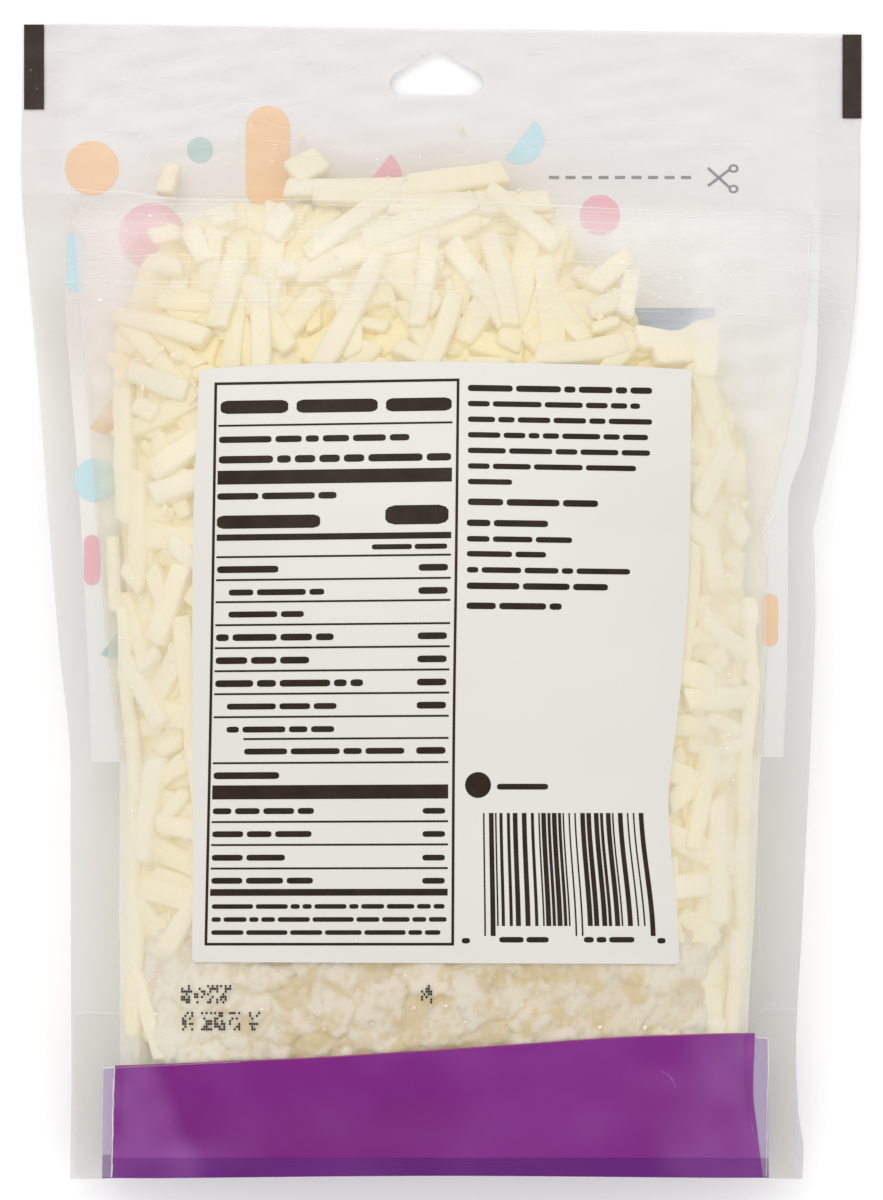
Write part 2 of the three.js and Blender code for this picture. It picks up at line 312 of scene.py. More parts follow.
# Print on the front film: its inner face is paler, and is what the back film lets through.
PURPLE_PALE = material("purple_inside", (0.535, 0.37, 0.76), 0.5, vary=((0.565, 0.41, 0.79), 12))
PURPLE_DIM = material("purple_seal_inside", (0.215, 0.07, 0.345), 0.5, vary=((0.24, 0.09, 0.37), 8))
PANEL = material("panel_white_inside", (0.94, 0.93, 0.915), 0.5, vary=((0.92, 0.91, 0.89), 25), stored={
    "high": (0.87, 0.84, 0.835), "left_side": (0.83, 0.79, 0.765), "right_side": (0.82, 0.815, 0.812)},
    haze=("fade", 0.0))
PANEL_OUT = material("panel_white_outside", (0.83, 0.82, 0.80), 0.36, vary=((0.80, 0.79, 0.77), 25))
GREY = material("grey_print", (0.20, 0.20, 0.21), 0.5, vary=((0.25, 0.25, 0.26), 3))
INSIDE_COLOURS = {"orange": (0.93, 0.62, 0.36), "pink": (0.88, 0.46, 0.54), "blue": (0.55, 0.79, 0.88),
                  "teal": (0.50, 0.66, 0.64), "navy": (0.32, 0.41, 0.56)}
OUTSIDE_COLOURS = {"orange": (0.85, 0.26, 0.03), "pink": (0.72, 0.05, 0.16), "blue": (0.05, 0.36, 0.58),
                   "teal": (0.02, 0.28, 0.26), "navy": (0.012, 0.025, 0.08)}
PALE = {k: material(f"{k}_inside", v, 0.5, vary=(tuple(min(1, c * 1.05 + 0.02) for c in v), 20))
        for k, v in INSIDE_COLOURS.items()}
VIVID = {k: material(f"{k}_outside", v, 0.36, vary=(tuple(c * 0.9 for c in v), 20))
         for k, v in OUTSIDE_COLOURS.items()}


# -------- mesh helpers
def piece(name, points, faces, materials, stored=None, smooth_faces=True, picks=None):
    """A mesh object from points in millimetres and arrays of faces with one size each."""
    faces = [np.asarray(f, np.int32) for f in (faces if isinstance(faces, list) else [faces]) if len(f)]
    points = np.asarray(points, np.float64).reshape(-1, 3)
    mesh = bpy.data.meshes.new(name)
    mesh.vertices.add(len(points))
    mesh.vertices.foreach_set("co", (points * 0.001).astype(np.float32).ravel())
    loops = np.concatenate([f.ravel() for f in faces])
    sizes = np.concatenate([np.full(len(f), f.shape[1], np.int32) for f in faces])
    mesh.loops.add(len(loops))
    mesh.loops.foreach_set("vertex_index", loops)
    mesh.polygons.add(len(sizes))
    mesh.polygons.foreach_set("loop_start", np.concatenate([[0], np.cumsum(sizes)[:-1]]).astype(np.int32))
    mesh.polygons.foreach_set("use_smooth", np.full(len(sizes), smooth_faces))
    mesh.update(calc_edges=True)
    mesh.validate()
    for key, values in (stored or {}).items():
        layer = mesh.attributes.new(key, "FLOAT", "POINT")
        layer.data.foreach_set("value", np.asarray(values, np.float32).ravel())
    for m in materials if isinstance(materials, list) else [materials]:
        mesh.materials.append(m)
    if picks is not None:
        mesh.polygons.foreach_set("material_index", np.asarray(picks, np.int32))
    ob = bpy.data.objects.new(name, mesh)
    bpy.context.scene.collection.objects.link(ob)
    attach(ob, "root")
    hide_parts("pouch")


def grid_faces(rows, cols, first=0, flip=False):
    i, j = np.meshgrid(np.arange(rows - 1), np.arange(cols - 1), indexing="ij")
    a = (i * cols + j).ravel() + first
    faces = np.stack([a, a + 1, a + cols + 1, a + cols], 1)
    return faces[:, ::-1] if flip else faces


class Print:
    """Flat shapes in picture pixels, gathered and then laid on a surface as one mesh."""

    def __init__(self, warp=None):
        self.warp, self.points, self.quads, self.count = warp, [], [], 0

    def add(self, lattice):
        rows, cols = lattice.shape[:2]
        flat = lattice.reshape(-1, 2)
        self.quads.append(grid_faces(rows, cols, self.count))
        self.points.append(flat if self.warp is None else np.stack(self.warp(flat[:, 0], flat[:, 1]), 1))
        self.count += len(flat)

    def quad(self, a, b, c, d, cell=7.0):
        """The four-cornered area a-b-c-d, cut into small cells so that it bends with the film."""
        a, b, c, d = (np.array(p, float) for p in (a, b, c, d))
        nu = max(1, math.ceil(max(np.hypot(*(b - a)), np.hypot(*(c - d))) / cell))
        nv = max(1, math.ceil(max(np.hypot(*(d - a)), np.hypot(*(c - b))) / cell))
        v, u = np.meshgrid(np.linspace(0, 1, nv + 1), np.linspace(0, 1, nu + 1), indexing="ij")
        u, v = u[..., None], v[..., None]
        self.add(((a * (1 - u) + b * u) * (1 - v) + (d * (1 - u) + c * u) * v))

    def rect(self, x0, y0, x1, y1, cell=7.0):
        self.quad((x0, y0), (x1, y0), (x1, y1), (x0, y1), cell)

    def disc(self, x, y, rx, ry=None, start=0.0, end=2 * math.pi, inner=0.0):
        """A disc, a sector or a ring, as a lattice in polar coordinates."""
        ry = rx if ry is None else ry
        rings = max(2, math.ceil(max(rx, ry) * (1 - inner) / 2.5) + 1)
        turns = max(12, math.ceil(max(rx, ry) * (end - start) / 3.5)) + 1
        r, turn = np.meshgrid(np.linspace(inner, 1, rings), np.linspace(start, end, turns), indexing="ij")
        self.add(np.stack([x + rx * r * np.cos(turn), y + ry * r * np.sin(turn)], -1))

    def line(self, points, width, cell=5.0, taper=False):
        points = np.array(points, float)
        legs = np.hypot(*np.diff(points, axis=0).T)
        along = np.concatenate([[0], np.cumsum(legs)])
        at = np.linspace(0, along[-1], max(2, math.ceil(along[-1] / cell) + 1))
        x, y = np.interp(at, along, points[:, 0]), np.interp(at, along, points[:, 1])
        dx, dy = np.gradient(x), np.gradient(y)
        size = np.hypot(dx, dy)
        if taper:
            width = width * np.sin(np.pi * np.linspace(0.04, 0.96, len(at))) ** 0.7
        nx, ny = -dy / size * width / 2, dx / size * width / 2
        self.add(np.stack([np.stack([x - nx, y - ny], -1), np.stack([x + nx, y + ny], -1)], 0))

    def make(self, name, lift, ink, slot="print", height=film_top):
        px, py = np.concatenate(self.points).T
        piece(name, lay(px, py, height, lift), np.concatenate(self.quads), ink)


# -------- film
def hole_gap(x, y):
    """Distance to the hang hole's outline, negative inside it."""
    half, low = HOLE["width"] / 2 - HOLE["corner"], HOLE["bottom"] - LENGTH / 2 + HOLE["corner"]
    tip = low + HOLE["height"] - 2 * HOLE["corner"]
    corners = np.array([[HOLE["x"] + half, low], [HOLE["x"], tip], [HOLE["x"] - half, low]])
    near, inside = np.full(np.shape(x), 1e9), np.full(np.shape(x), True)
    for a, b in zip(corners, np.roll(corners, -1, 0)):
        ex, ey = b - a
        u = np.clip(((x - a[0]) * ex + (y - a[1]) * ey) / (ex * ex + ey * ey), 0, 1)
        near = np.minimum(near, np.hypot(x - a[0] - u * ex, y - a[1] - u * ey))
        inside &= ex * (y - a[1]) - ey * (x - a[0]) >= 0
    return np.where(inside, -near, near) - HOLE["corner"]


def punch(points, faces):
    """Leave out the faces inside the hang hole and pull the rim onto its outline."""
    x, y, e = points[:, 0], points[:, 1], 0.01
    gap = hole_gap(x, y)
    faces = faces[(gap[faces] > 0).any(1)]
    rim = np.zeros(len(points), bool)
    rim[faces.ravel()] = True
    rim &= gap < 0
    points[:, 0] = np.where(rim, x - gap * (hole_gap(x + e, y) - hole_gap(x - e, y)) / (2 * e), x)
    points[:, 1] = np.where(rim, y - gap * (hole_gap(x, y + e) - hole_gap(x, y - e)) / (2 * e), y)
    return points, faces


def haze(x, s):
    """How milky the film looks: most where it stands off the cheese, at the sides and the zip."""
    side = smooth(0.62, 0.98, across(x, s)[0]) * (1 - 0.35 * smooth(50, 20, s))
    side = side * (1 - 0.3 * smooth(0, -40, x) * smooth(165, 140, s))
    beside_label = smooth(44, 50, x) * smooth(60, 84, s) * (1 - smooth(168, 180, s))
    at_zip = 0.45 * smooth(158, 172, s) * (1 - smooth(HEADER, HEADER + 6, s))
    over_field = 0.5 * np.exp(-((x - 43) / 8) ** 2 - ((s - 157) / 4) ** 2)
    milk = (np.maximum(side, 0.92 * beside_label) + at_zip + over_field) * smooth(HEADER, HEADER - 7, s)
    return np.clip(milk * (0.9 + 0.2 * waves(x, s, 9, 91)) + 0.1 * waves(x, s, 14, 92), 0, 1)


def crease(x, s):
    """Painted light and shade on the facets of the crinkled header, strongest at its left."""
    def fold(x, s):
        return np.abs(waves(x, s * 2.1, 15, 81)) + 0.55 * np.abs(waves(x + 0.6 * s, s * 1.6, 7.5, 82))
    return 0.5 + 0.5 * (fold(x, s + 0.35) - fold(x, s - 0.35)) / 0.7 * (1 - 0.72 * smooth(-48, 0, x))


def film_values(x, s):
    """Where the film is milky or tinted, from 0 to 1, and where light and shade are painted on it: shade on
    the sealed film towards the bottom and at its lower right, a lighter patch at the right, and light and
    shade on the header's crinkles.
    """
    # painted shade: the sealed film darker towards the bottom
    return {"low": 1 - smooth(60, 170, s),
            "haze": haze(x, s),
            "warm": (x < 0) * smooth(95, 140, s) * (1 - smooth(165, 190, s)),
            "bare": smooth(-5, 6, s - through(FILL_TOP, x)) * smooth(118, 150, s + 55 * (x > 0)),
            # painted light: a lighter patch on the film at the right
            "lit": smooth(54, 62, x) * smooth(150, 135, s) * smooth(60, 85, s),
            "rosy": smooth(-38, -66, x) * smooth(138, 160, s),
            "top": smooth(HEADER - 6, HEADER, s),
            # painted shade: the sealed film darker still at its lower right
            "dusk": smooth(10, 40, x) * smooth(95, 45, s),
            "crease": np.clip(crease(x, s), 0, 1)}


def columns(count):
    """Places across a film from -1 to 1, crowded at the seal lines, where it rises steeply."""
    seam = np.linspace(0.845, 0.9, 38)
    return np.unique(np.concatenate([np.linspace(-1, 1, count), seam, -seam]))


def spread(left, right, shares):
    """x in columns between two sides, with a row for each of their stations."""
    return (left + right)[:, None] / 2 + (right - left)[:, None] / 2 * shares[None, :]


def film_sheet(name, height, flip):
    """The back or the front film, edge to edge, with the hang hole left out."""
    rows = np.linspace(0, LENGTH, 190)
    x = spread(through(LEFT_EDGE, rows), through(RIGHT_EDGE, rows), columns(145))
    s = np.repeat(rows[:, None], x.shape[1], 1)
    flat, faces = punch(np.stack([x, to_y(s, x)], -1).reshape(-1, 2), grid_faces(*x.shape, flip=flip))
    fx, fy = flat[:, 0], flat[:, 1]
    points = np.stack([fx, fy, height(fx, np.clip(to_s(fx, fy), 0, LENGTH))], -1)
    past, rise = across(x, s)[1].ravel()[faces], s.ravel()[faces].mean(1)
    sealed = ((past > 0).sum(1) >= 3) | (rise < GUSSET_SEAL)
    piece(name, points, faces, [FILM, SEAL, HEADER_FILM], film_values(x, s),
          picks=np.where(rise > HEADER, 2, np.where(sealed, 1, 0)))


def gusset():
    """The film that closes the bottom end: sealed to both films at their edges, folded in between."""
    shares, seal = columns(110), GUSSET_SEAL
    w = np.concatenate([[0, 0], np.linspace(0, 1, 19), [1, 1]])[:, None].repeat(len(shares), 1)
    left, right = through(LEFT_EDGE, 12) + 0.7, through(RIGHT_EDGE, 12) - 0.7
    x = ((left + right) / 2 + (right - left) / 2 * shares)[None, :].repeat(len(w), 0)
    deep = GUSSET_MID + (GUSSET_FOLD - GUSSET_MID) * smooth(43, 60, np.abs(x))
    s = seal + (deep - seal) * np.sin(np.pi * w) ** 0.55
    s[[0, -1]], s[[1, -2]] = 0.4, seal - 0.6
    high, low = film_top(x, s) - 0.12, film_under(x, s) + 0.1
    z = high + (low - high) * w + 0.5 * waves(x, 20 * w, 9, 31) * np.sin(np.pi * w)
    faces = grid_faces(*x.shape)
    purple = (s.ravel()[faces].mean(1) < 20) & (np.abs(x.ravel()[faces].mean(1) + 2) < 57)
    piece("gusset", np.stack([x, to_y(s, x), np.clip(z, low, high)], -1), faces, [FILM, PURPLE_DARK],
          picks=purple)


film_sheet("film_back", film_top, False)
film_sheet("film_front", film_under, True)
gusset()


# -------- cheese
def top_frame(x, s, height, sign):
    """Film points and outward normals at (x, s)."""
    e = 0.4
    point = np.stack([x, to_y(s, x), height(x, s)], -1)
    zx = (height(x + e, s) - height(x - e, s)) / (2 * e)
    zs = (height(x, s + e) - height(x, s - e)) / (2 * e)
    steep = np.maximum(1, np.hypot(zx, zs) / 1.6)
    normal = np.stack([-zx / steep, -zs / steep, np.ones_like(zx)], -1)
    return point, sign * normal / np.linalg.norm(normal, axis=-1, keepdims=True)


def behind(x, s, depth, height, sign):
    """Points that lie that far behind the film at (x, s)."""
    point, normal = top_frame(x, s, height, sign)
    return point - normal * depth[..., None]


def shred_shape(length, width, thick, draw):
    """Rings of a shred: position along and across it, and depth from its outer face."""
    corner = 0.25 * min(width, thick)
    turns = np.radians([[8, 45, 82], [98, 135, 172], [188, 225, 262], [278, 315, 352]]).ravel()
    cx = (width / 2 - corner) * np.repeat([1, -1, -1, 1], 3) + corner * np.cos(turns)
    cz = (thick / 2 - corner) * np.repeat([1, 1, -1, -1], 3) + corner * np.sin(turns)
    tip = 0.5 / length
    at = np.array([-0.5, -0.5 + tip, -0.3, -0.08, 0.13, 0.32, 0.5 - tip, 0.5]) * length
    size = np.array([0.79, 0.97, 1, 1, 1, 1, 0.97, 0.79]) * (1 + draw.uniform(-0.1, 0.08, SHRED_RINGS))
    bend, ends = draw.normal(0, 0.016) * length, draw.uniform(-0.45, 0.45, 2)
    bow = draw.normal(0, 0.25) * (1 - (2 * at / length) ** 2)
    twist = draw.normal(0, 0.16) * at / length
    rings = []
    for k, (a, grow) in enumerate(zip(at, size)):
        wide, deep = cx * grow, cz * (0.4 + 0.6 * grow)
        cos, sin = math.cos(twist[k]), math.sin(twist[k])
        wide, deep = wide * cos - deep * sin, wide * sin + deep * cos
        shift = ends[int(a > 0)] * wide * (abs(a) / length * 2) ** 4
        side = wide + bend * (1 - (2 * a / length) ** 2)
        rings.append(np.stack([a + shift, side, thick / 2 - deep + bow[k]], -1))
    return np.array(rings)


def shred_faces(count):
    k = np.arange(SHRED_SIDES)
    after = np.roll(k, -1)
    ring = np.stack([k, after, after + SHRED_SIDES, k + SHRED_SIDES], 1)
    sides = (np.arange(SHRED_RINGS - 1)[:, None, None] * SHRED_SIDES + ring).reshape(-1, 4)
    caps = np.stack([k[::-1], k + (SHRED_RINGS - 1) * SHRED_SIDES])
    starts = (np.arange(count) * SHRED_RINGS * SHRED_SIDES)[:, None, None]
    return [(faces + starts).reshape(-1, faces.shape[1]) for faces in (sides, caps)]


CELL = 0.5  # pitch of the tables in which shreds are tried
TABLE_X, TABLE_S = np.meshgrid(np.arange(-80, 80.1, CELL), np.arange(0, LENGTH + 0.1, CELL), indexing="ij")
TABLE_T = across(TABLE_X, TABLE_S)[0]
ROOM = film_top(TABLE_X, TABLE_S) - film_under(TABLE_X, TABLE_S)
TILTS = np.linspace(-0.28, 0.28, 9)  # slopes at which a shred may lie
NEST = 1.5  # a shred counts as at most this thick for those that lie on it


def heap(name, height, sign, wanted, tries, choice, seed, deepest):
    """Shreds let fall against the film from inside, each resting on those before it."""
    draw = np.random.default_rng(seed)
    depth = np.zeros(TABLE_X.shape)
    normal = np.abs(top_frame(TABLE_X, TABLE_S, height, sign)[1])
    outside = (TABLE_T > 0.99) | (TABLE_S > through(FILL_TOP, TABLE_X) + 1) | (TABLE_S < 8)
    squash_x, squash_s = [normal[..., 2] / np.hypot(normal[..., k], normal[..., 2]) for k in (0, 1)]
    made, tones = [], []
    for _ in range(tries):
        small = draw.random() < 0.2
        length = draw.uniform(4, 10) if small else draw.uniform(*SHRED_LONG)
        width, thick = draw.uniform(*SHRED_WIDE), draw.uniform(*SHRED_THICK)
        if small:
            width, thick = width * draw.uniform(0.55, 1), thick * draw.uniform(0.55, 1)
        x, s = draw.uniform(-67, 66, choice), draw.uniform(12, 194, choice)
        turn = draw.uniform(0, np.pi, choice)
        keep = wanted(x, s)
        if not keep.any():
            continue
        # lay each choice on the table and see how deep it has to go
        x, s, turn = x[keep], s[keep], turn[keep]
        i, j = ((x + 80) / CELL).astype(int), (s / CELL).astype(int)
        fx, fs = squash_x[i, j][:, None, None], squash_s[i, j][:, None, None]
        along = np.linspace(-0.5, 0.5, 15)[None, :, None] * length
        aside = np.linspace(-0.46, 0.46, 6)[None, None, :] * width
        cos, sin = np.cos(turn)[:, None, None], np.sin(turn)[:, None, None]
        gx = x[:, None, None] + (along * cos - aside * sin) * fx
        gs = s[:, None, None] + (along * sin + aside * cos) * fs
        i = np.clip(((gx + 80) / CELL).round().astype(int), 0, TABLE_X.shape[0] - 1)
        j = np.clip((gs / CELL).round().astype(int), 0, TABLE_X.shape[1] - 1)
        rest = 0.6 * depth[i, j].max(2) + 0.4 * depth[i, j].mean(2)
        needs = rest[:, None, :] - TILTS[None, :, None] * along[:, None, :, 0]
        starts = np.maximum(0.65 * needs.max(2) + 0.35 * needs.mean(2), np.abs(TILTS) * length / 2)
        cost = starts + np.abs(TILTS)[None, :] * length * 0.3
        pick, best = cost.argmin(1), cost.min(1)
        lie = starts[np.arange(len(x)), pick][:, None] + TILTS[pick][:, None] * along[..., 0]
        tight = (lie + thick + 0.4 > ROOM[i[:, :, 2], j[:, :, 2]]).any(1)
        best[tight | outside[i, j].any((1, 2))] = 99
        k = int(best.argmin())
        if best[k] > deepest:
            continue
        # the best choice stays
        np.maximum.at(depth, (i[k], j[k]), (lie[k] + min(thick, NEST))[:, None].repeat(6, 1))
        a, c, d = np.moveaxis(shred_shape(length, width, thick, draw), -1, 0)
        cos, sin, fx, fs = math.cos(turn[k]), math.sin(turn[k]), float(fx[k, 0, 0]), float(fs[k, 0, 0])
        vx, vs = x[k] + (a * cos - c * sin) * fx, s[k] + (a * sin + c * cos) * fs
        sunk = np.maximum(0.3, d + starts[k, pick[k]] + TILTS[pick[k]] * a + 0.34)
        made.append(np.stack([vx, vs, sunk], -1).reshape(-1, 3))
        # Each shred's tone varies at random, plus painted shade: the deeper a part lies behind the film, the
        # yellower and darker it is, more so near the top of the filling at the back.
        depth_shade = 0.17 + 0.1 * sign * smooth(136, 150, made[-1][:, 1])
        tones.append(np.clip(draw.normal(0.02, 0.14) + depth_shade * made[-1][:, 2], 0, 1))
    local = np.concatenate(made)
    point, normal = top_frame(local[:, 0], np.clip(local[:, 1], 1, 215), height, sign)
    rings = (point - normal * local[:, 2:3]).reshape(len(made), SHRED_RINGS, SHRED_SIDES, 3)
    mid_x, mid_y, mid_z = np.moveaxis((rings[:, 1:] + rings[:, :-1]) / 2, -1, 0)
    gap = (sign * (height(mid_x, np.clip(to_s(mid_x, mid_y), 1, 215)) - mid_z)).min((1, 2))
    local[:, 2] += np.maximum(0, 0.2 - gap).repeat(SHRED_RINGS * SHRED_SIDES)
    shade = sign * smooth(136, 150, local[:, 1]) * smooth(171, 161, local[:, 1])
    piece(name, point - normal * local[:, 2:3], shred_faces(len(made)), CHEESE,
          {"tone": tones, "shade": shade})


def under_label(x, s, inset):
    return (x > -45 + inset) & (x < 46 - inset) & (s > 42 + inset) & (s < 153 - inset)


def on_back(x, s):
    low_end = 24 + 29 * (1 - smooth(42, 56, np.abs(x + 3)))
    return (across(x, s)[0] < 0.985) & (s > low_end) & (s < through(FILL_TOP, x)) & ~under_label(x, s, 9)


def on_front(x, s):
    return (across(x, s)[0] < 0.97) & (s > 26) & (s < 92)


def single_shreds(name, spots, thick, draw):
    """Shreds that lie by themselves under the back film: place, turn, length and width of each."""
    made, tones = [], []
    for x, s, turn, length, width in spots:
        a, c, d = np.moveaxis(shred_shape(length, width, thick, draw), -1, 0)
        vx = x + a * math.cos(turn) - c * math.sin(turn)
        vs = s + a * math.sin(turn) + c * math.cos(turn)
        made.append(np.stack([vx, vs, np.maximum(0.25, d + 0.3)], -1).reshape(-1, 3))
        tones.append(np.full(SHRED_RINGS * SHRED_SIDES, draw.uniform(0, 0.3)))
    x, s, depth = np.concatenate(made).T
    piece(name, behind(x, s, depth, film_top, 1), shred_faces(len(made)), CHEESE, {"tone": tones})


# pixel, turn, length and width in mm
LONE = ((352, 184, 0.02, 25, 3.6), (455, 176, 0.16, 19, 4.6), (470, 200, 0.03, 30, 4.4),
        (306, 163, 0.5, 7, 5.0), (344, 192, -0.05, 12, 3.0), (167, 176, 1.3, 6, 3.2),
        (708, 346, 1.5, 11, 4.4), (612, 268, 0.7, 10, 3.8), (630, 290, 1.4, 9, 3.4),
        (664, 337, -0.12, 10, 4.2), (692, 333, 0.5, 7, 3.4), (680, 350, 0.1, 9, 4.0))


def lone_shreds():
    """A few shreds that stand clear of the rest, above the zip and at the right."""
    spots = []
    for px, py, *rest in LONE:
        x, y, _ = lay(np.array([px]), np.array([py]), film_top)[0]
        spots.append((x, float(to_s(x, y)), *rest))
    single_shreds("shreds_high", spots, 2.6, np.random.default_rng(12))


def side_shreds():
    """Thin shreds along the seals, where the two films are too close for the others."""
    draw = np.random.default_rng(19)
    spots = []
    for edge, inward, s, end in ((LEFT_EDGE, 1, 27.0, 108.0), (RIGHT_EDGE, -1, 24.0, 92.0)):
        while s < end:
            length, width = draw.uniform(8, 19), draw.uniform(1.7, 2.5)
            x, ahead = [float(through(edge, s + k * length)) for k in (0.5, 1)]
            spots.append((x + inward * (SIDE_SEAL + width / 2 + draw.uniform(0.5, 1.1)), s + length / 2,
                          math.pi / 2 + 2 * (x - ahead) / length + draw.normal(0, 0.04), length, width))
            s += length * draw.uniform(0.78, 1.0)
    single_shreds("shreds_side", spots, 1.6, draw)


def core():
    """The cheese behind the shreds that show, as one uneven closed mass."""
    x, v = np.meshgrid(np.linspace(-61, 60, 110), np.linspace(0, 1, 130), indexing="ij")
    low_end = 14 + (GUSSET_FOLD - 12) * smooth(46, 60, np.abs(x))
    s = low_end + (through(FILL_TOP, x) - 5 - low_end) * v
    t = across(x, s)[0]
    high, low = film_top(x, s), film_under(x, s)
    sunk = np.minimum(5.2 - 2.6 * (1 - smooth(30, 48, s)), 0.44 * (high - low))
    top = high - sunk + 0.7 * waves(x, s, 5, 41)
    base = low + np.minimum(4.6, 0.4 * (high - low)) - 0.4 * waves(x, s, 5, 42)
    rim = smooth(0, 0.05, v) * (1 - smooth(0.95, 1, v)) * (1 - smooth(0.88, 0.95, t))
    mid = (top + base) / 2
    top, base = mid + np.maximum(0.06, (top - mid) * rim), mid - np.maximum(0.06, (mid - base) * rim)
    x = x - np.sign(x) * np.clip(t - 0.93, 0, 1) * 62
    sides = np.stack([np.stack([x, to_y(s, x), z], -1) for z in (top, base)])
    (r, c), n = x.shape, x.size
    edge = np.concatenate([np.arange(c), np.arange(1, r) * c + c - 1, (r - 1) * c + np.arange(c - 2, -1, -1),
                           np.arange(r - 2, 0, -1) * c])
    after = np.roll(edge, -1)
    wall = np.stack([edge, after, after + n, edge + n], 1)
    piece("cheese_core", sides, [grid_faces(r, c, flip=True), grid_faces(r, c, n), wall], CORE)


def cells(x, s, size, seed):
    """Nearest and second nearest distance to scattered points, and a draw for the nearest one."""
    draw = np.random.default_rng(seed)
    count = int(150 * 60 / size ** 2)
    px, ps, own = draw.uniform(-75, 75, count), draw.uniform(0, 60, count), draw.random(count)
    squeeze, turn = draw.uniform(0.7, 1.5, count), draw.uniform(0, np.pi, count)
    one, two, tone = np.full(x.shape, 1e9), np.full(x.shape, 1e9), np.zeros(x.shape)
    for a, b, k, w, c in zip(px, ps, squeeze, turn, own):
        u = (x - a) * math.cos(w) + (s - b) * math.sin(w)
        v = (s - b) * math.cos(w) - (x - a) * math.sin(w)
        d = np.hypot(u * k, v / k)
        two = np.minimum(two, np.maximum(one, d))
        tone = np.where(d < one, c, tone)
        one = np.minimum(one, d)
    return one, two, tone


def crumb_bed(name, height, sign, low, high, seed):
    """The pressed, crumbled cheese behind the film along the bottom."""
    rows, shares = np.linspace(low, high, 76), np.linspace(-0.975, 0.975, 270)
    x = spread(through(LEFT_EDGE, rows) + SIDE_SEAL, through(RIGHT_EDGE, rows) - SIDE_SEAL, shares)
    s = np.repeat(rows[:, None], len(shares), 1)
    xw = x + 0.9 * waves(x, s, 7, seed) + 0.22 * waves(x, s, 2.2, seed + 7)
    sw = s + 0.9 * waves(x, s, 7, seed + 1) + 0.22 * waves(x, s, 2.2, seed + 8)
    one, two, tone = cells(xw, sw, 6.2, seed)
    fine_one, fine_two, fine_tone = cells(xw, sw, 1.9, seed + 2)
    crack, thin = 1 - smooth(0.2, 2.0, two - one), 1 - smooth(0.1, 0.9, two - one)
    small = 1 - smooth(0.05, 0.7, fine_two - fine_one)
    cloud = smooth(-0.5, 0.6, waves(x, s, 17, seed + 3))
    sunk = smooth(0.45, 0.9, tone)  # some lumps lie back, and tan crumbs fill their place
    near_end = 0.5 + 0.5 * smooth(20, 34, s)
    depth = 0.25 + 0.2 * near_end * crack + 0.28 * sunk + 0.13 * small * (0.4 + crack + sunk)
    depth = depth + 0.3 * fine_tone * np.maximum(crack, sunk) + 0.1 * (1 + waves(x, s, 3, seed + 4))
    edge = smooth(50, 58, np.abs(x + 3))
    fade = np.maximum(np.maximum(smooth(high - 8, high, s), 1 - smooth(low, low + 4, s)), edge)
    corner = 1 - smooth(0, 7, s - GUSSET_FOLD * smooth(43, 60, np.abs(x)))
    depth = depth + 3.2 * np.maximum(fade, corner)
    speck = smooth(0.2, 0.8, waves(x, s, 1.9, seed + 5)) * smooth(-0.1, 0.6, waves(x, s, 7, seed + 6))
    mash = smooth(0.1, 1.2, waves(x, s, 9, seed + 9) + 0.7 * waves(x, s, 3.2, seed + 10))
    vein = 0.85 * np.maximum(thin, sunk) * (0.4 + 0.6 * fine_tone) + mash * (0.5 + 0.3 * cloud) + 0.55 * speck
    pale = 0.75 * np.maximum(smooth(-28, -50, x), 0.7 * smooth(30, 48, x)) * (1 - 0.6 * vein)
    piece(name, behind(x, s, depth, height, sign), grid_faces(*x.shape, flip=sign < 0), CRUMB,
          {"vein": np.clip(vein, 0, 1), "pale": pale})


def crumbs():
    """Loose crumbs stuck to the film round the top of the filling, along the edges and below."""
    draw = np.random.default_rng(77)
    base = np.array([[1, 1, 1], [1, -1, -1], [-1, 1, -1], [-1, -1, 1], [1.3, 0, 0], [-1.3, 0, 0],
                     [0, 1.3, 0], [0, -1.3, 0], [0, 0, 1.3], [0, 0, -1.3]]) / 1.5
    hull = np.array([[0, 4, 6], [0, 6, 8], [0, 8, 4], [1, 4, 7], [1, 9, 4], [1, 7, 9], [2, 6, 5],
                     [2, 9, 6], [2, 5, 9], [3, 5, 7], [3, 7, 8], [3, 8, 5], [4, 8, 7], [4, 9, 6],
                     [5, 6, 8], [5, 9, 7], [6, 4, 9], [6, 8, 5], [7, 8, 4], [7, 5, 9]])
    points, faces, tones = [], [], []
    for _ in range(520):
        x, s = draw.uniform(-64, 62), draw.uniform(24, 200)
        t, edge = float(across(x, s)[0]), float(through(FILL_TOP, x)) - s
        shown = (s < 52 and draw.random() < 0.25) or (-14 < edge < 30 and draw.random() < 0.8) or (
            t > 0.7 and edge > 0 and draw.random() < 0.3)
        if not shown or t > 0.97 or under_label(x, s, -1):
            continue
        size = min(1.5, 0.18 + draw.exponential(0.28)) if edge > 0 else min(0.9, 0.1 + draw.exponential(0.18))
        size = min(size, 0.45) if s < 52 else size
        shape = base * size * draw.uniform(0.6, 1.3, 3) + draw.normal(0, 0.12 * size, base.shape)
        depth = np.maximum(0.05, size * 0.7 - shape[:, 2])
        faces.append(hull + len(base) * len(points))
        points.append(np.stack([x + shape[:, 0], s + shape[:, 1], depth], -1))
        tones.append(np.full(len(base), draw.uniform(0, 0.5)))
    x, s, depth = np.concatenate(points).T
    piece("crumbs_loose", behind(x, s, depth, film_top, 1), np.concatenate(faces), CHEESE,
          {"tone": tones}, smooth_faces=False)


heap("shreds_back", film_top, 1, on_back, 2400, 14, 5, 4.2)
heap("shreds_front", film_under, -1, on_front, 600, 10, 6, 4.4)
lone_shreds()
side_shreds()
core()
crumb_bed("crumbs_pressed_back", film_top, 1, 14, 50, 60)
crumb_bed("crumbs_pressed_front", film_under, -1, 12, 34, 70)
crumbs()


